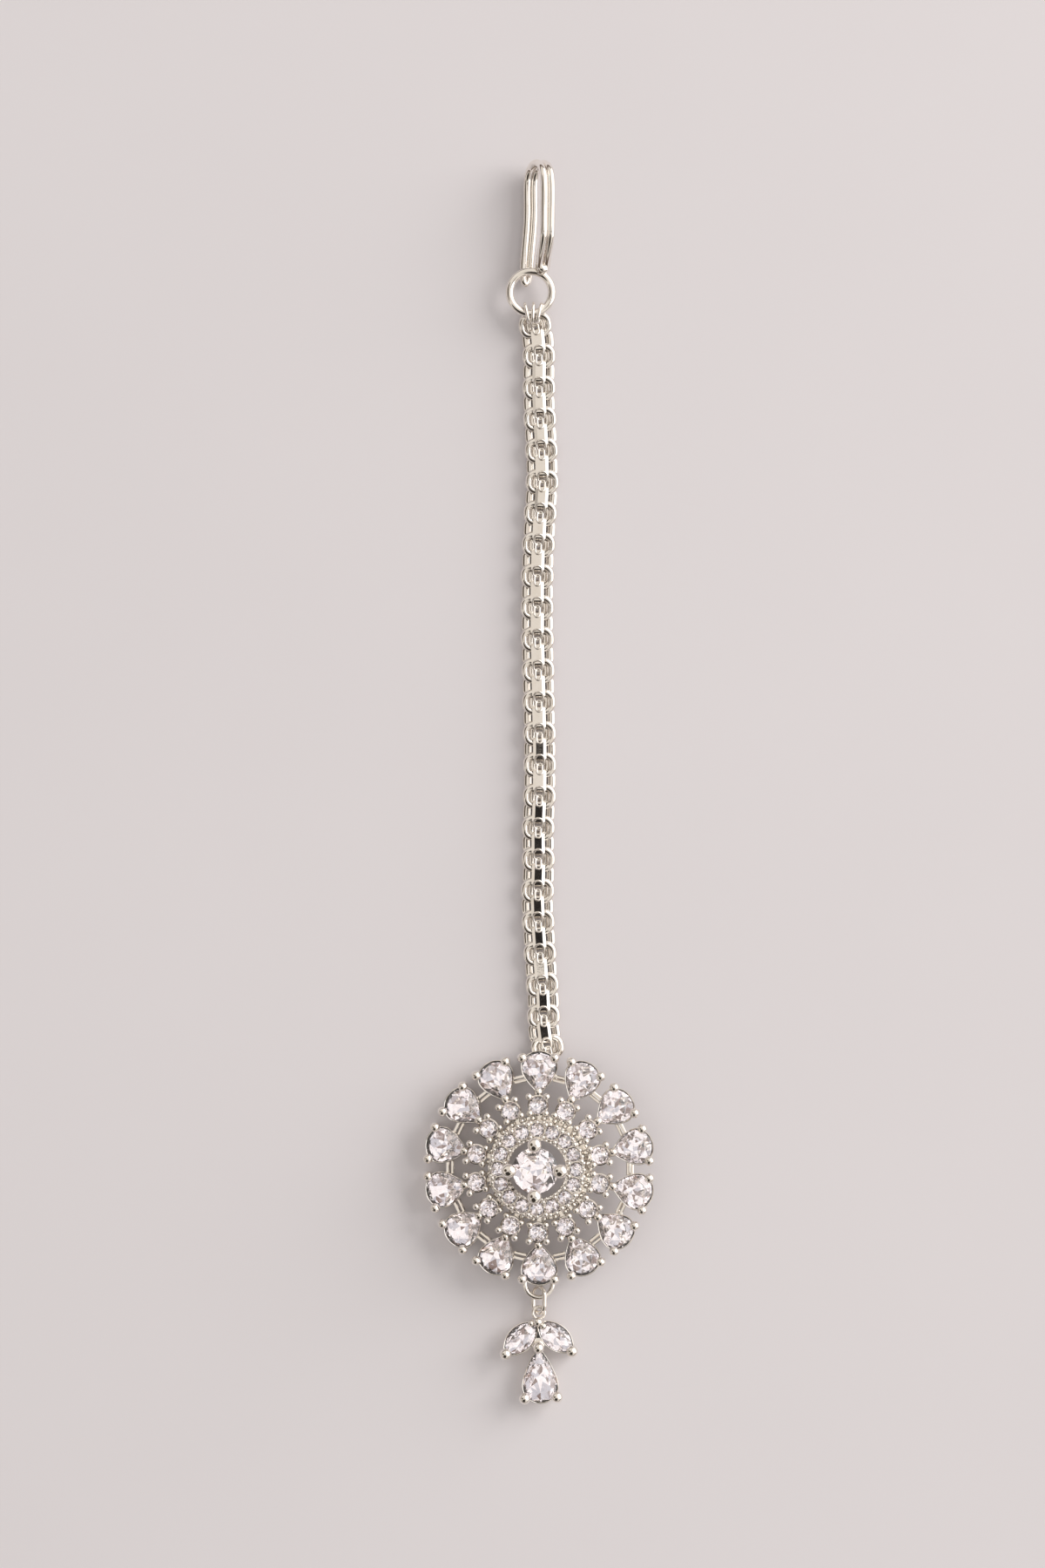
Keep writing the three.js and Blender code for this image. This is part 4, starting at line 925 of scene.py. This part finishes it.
def make_room():
    world = bpy.data.worlds.new("room")
    bpy.context.scene.world = world
    world.use_nodes = True
    tree = world.node_tree
    tree.nodes.clear()
    out = tree.nodes.new("ShaderNodeOutputWorld")
    glow = tree.nodes.new("ShaderNodeBackground")
    tree.links.new(glow.outputs[0], out.inputs[0])
    place = put(tree, "ShaderNodeTexCoord").outputs["Generated"]
    ray = put(tree, "ShaderNodeLightPath").outputs

    def eased(value, start, full):
        return put(tree, "ShaderNodeMapRange", {"Value": value, "From Min": start, "From Max": full},
                   interpolation_type="SMOOTHSTEP").outputs[0]

    def share(toward, start, full):
        """How much of a patch of the room lies the way that a ray points."""
        along = put(tree, "ShaderNodeVectorMath", {0: place, 1: toward}, operation="DOT_PRODUCT")
        return eased(along.outputs["Value"], start, full)

    def spots(scale, start, full, step):
        """Spots of another shade, scattered over the room."""
        shifted = put(tree, "ShaderNodeMapping", {"Vector": place, "Location": (step, step, 0)}).outputs[0]
        noise = put(tree, "ShaderNodeTexNoise", {"Vector": shifted, "Scale": scale, "Detail": 1.0})
        return eased(noise.outputs["Fac"], start, full)

    def mixed(amount, first, second):
        return put(tree, "ShaderNodeMix", {0: amount, 6: first, 7: second}, data_type="RGBA").outputs[2]

    up = (0, 0, 1)
    # what lights the matt table
    soft = mixed(share(up, 0.05, 0.5), (0.2, 0.19, 0.185, 1), (0.62, 0.607, 0.602, 1))
    # what the metal mirrors: a pale ceiling, three dark patches and a bright window at the upper right
    shine = mixed(share(up, 0.08, 0.36), (0.13, 0.095, 0.075, 1), (0.80, 0.745, 0.68, 1))
    for toward, start, full, shade in (
            ((-0.25, -0.66, 0.71), 0.84, 0.90, (0.045, 0.038, 0.033, 1)),
            ((-0.72, 0.1, 0.68), 0.93, 0.96, (0.09, 0.07, 0.055, 1)),
            ((0.30, -0.05, 0.95), 0.982, 0.99, (0.16, 0.125, 0.1, 1)),
            ((0.82, 0.36, 0.45), 0.68, 0.76, (1.75, 1.73, 1.71, 1))):
        shine = mixed(share(toward, start, full), shine, shade)
    # a brighter room for light that reaches the table by way of the metal and the stones
    bounced = put(tree, "ShaderNodeMath", {0: ray["Diffuse Depth"], 1: 0.5}, operation="GREATER_THAN").outputs[0]
    shine = mixed(bounced, shine, (1.3, 1.24, 1.2, 1))
    # what shows through the stones
    through = mixed(share(up, 0.0, 0.2), (0.6, 0.47, 0.43, 1), (1.22, 1.18, 1.19, 1))
    through = mixed(spots(2.6, 0.52, 0.56, 4.0), through, (0.68, 0.68, 0.74, 1))
    through = mixed(spots(2.9, 0.56, 0.60, 0.0), through, (0.24, 0.165, 0.14, 1))
    seen = mixed(ray["Is Transmission Ray"], shine, through)
    seen = mixed(ray["Is Diffuse Ray"], seen, soft)
    tree.links.new(seen, glow.inputs["Color"])

    window = area_light("window", (1.1, 0.52, 0.58), (0, -0.01, 0), 1.0, 1.0, 18.6, (1.0, 0.99, 0.985))
    window.visible_glossy = False
    window.visible_transmission = False
    flat_card("table", (0, 0, -0.0001), 1.2, 1.2, TABLE)

    # straight above the piece: 600 mm up, with 180 mm of the table in view from top to bottom
    camera = bpy.data.objects.new("camera", bpy.data.cameras.new("camera"))
    camera.data.sensor_fit = "VERTICAL"
    camera.data.sensor_height = 24.0
    camera.data.lens = camera.data.sensor_height * 600 / 180
    camera.data.clip_start = 0.01
    camera.location = (SHIFT.x * MM, SHIFT.y * MM, 0.6)
    bpy.context.scene.collection.objects.link(camera)
    bpy.context.scene.camera = camera
    # a dark card above the camera, which the flat links of the lower chain mirror
    flat_card("dark_card", (SHIFT.x * MM, -0.0225, 0.615), 0.07, 0.027, DARK, seen=False)
    bpy.context.scene.view_settings.view_transform = "Standard"


make_hook()
make_chain()
make_medallion_metal()
make_halo()
make_stones()
make_loose_links()
make_drop()
make_room()
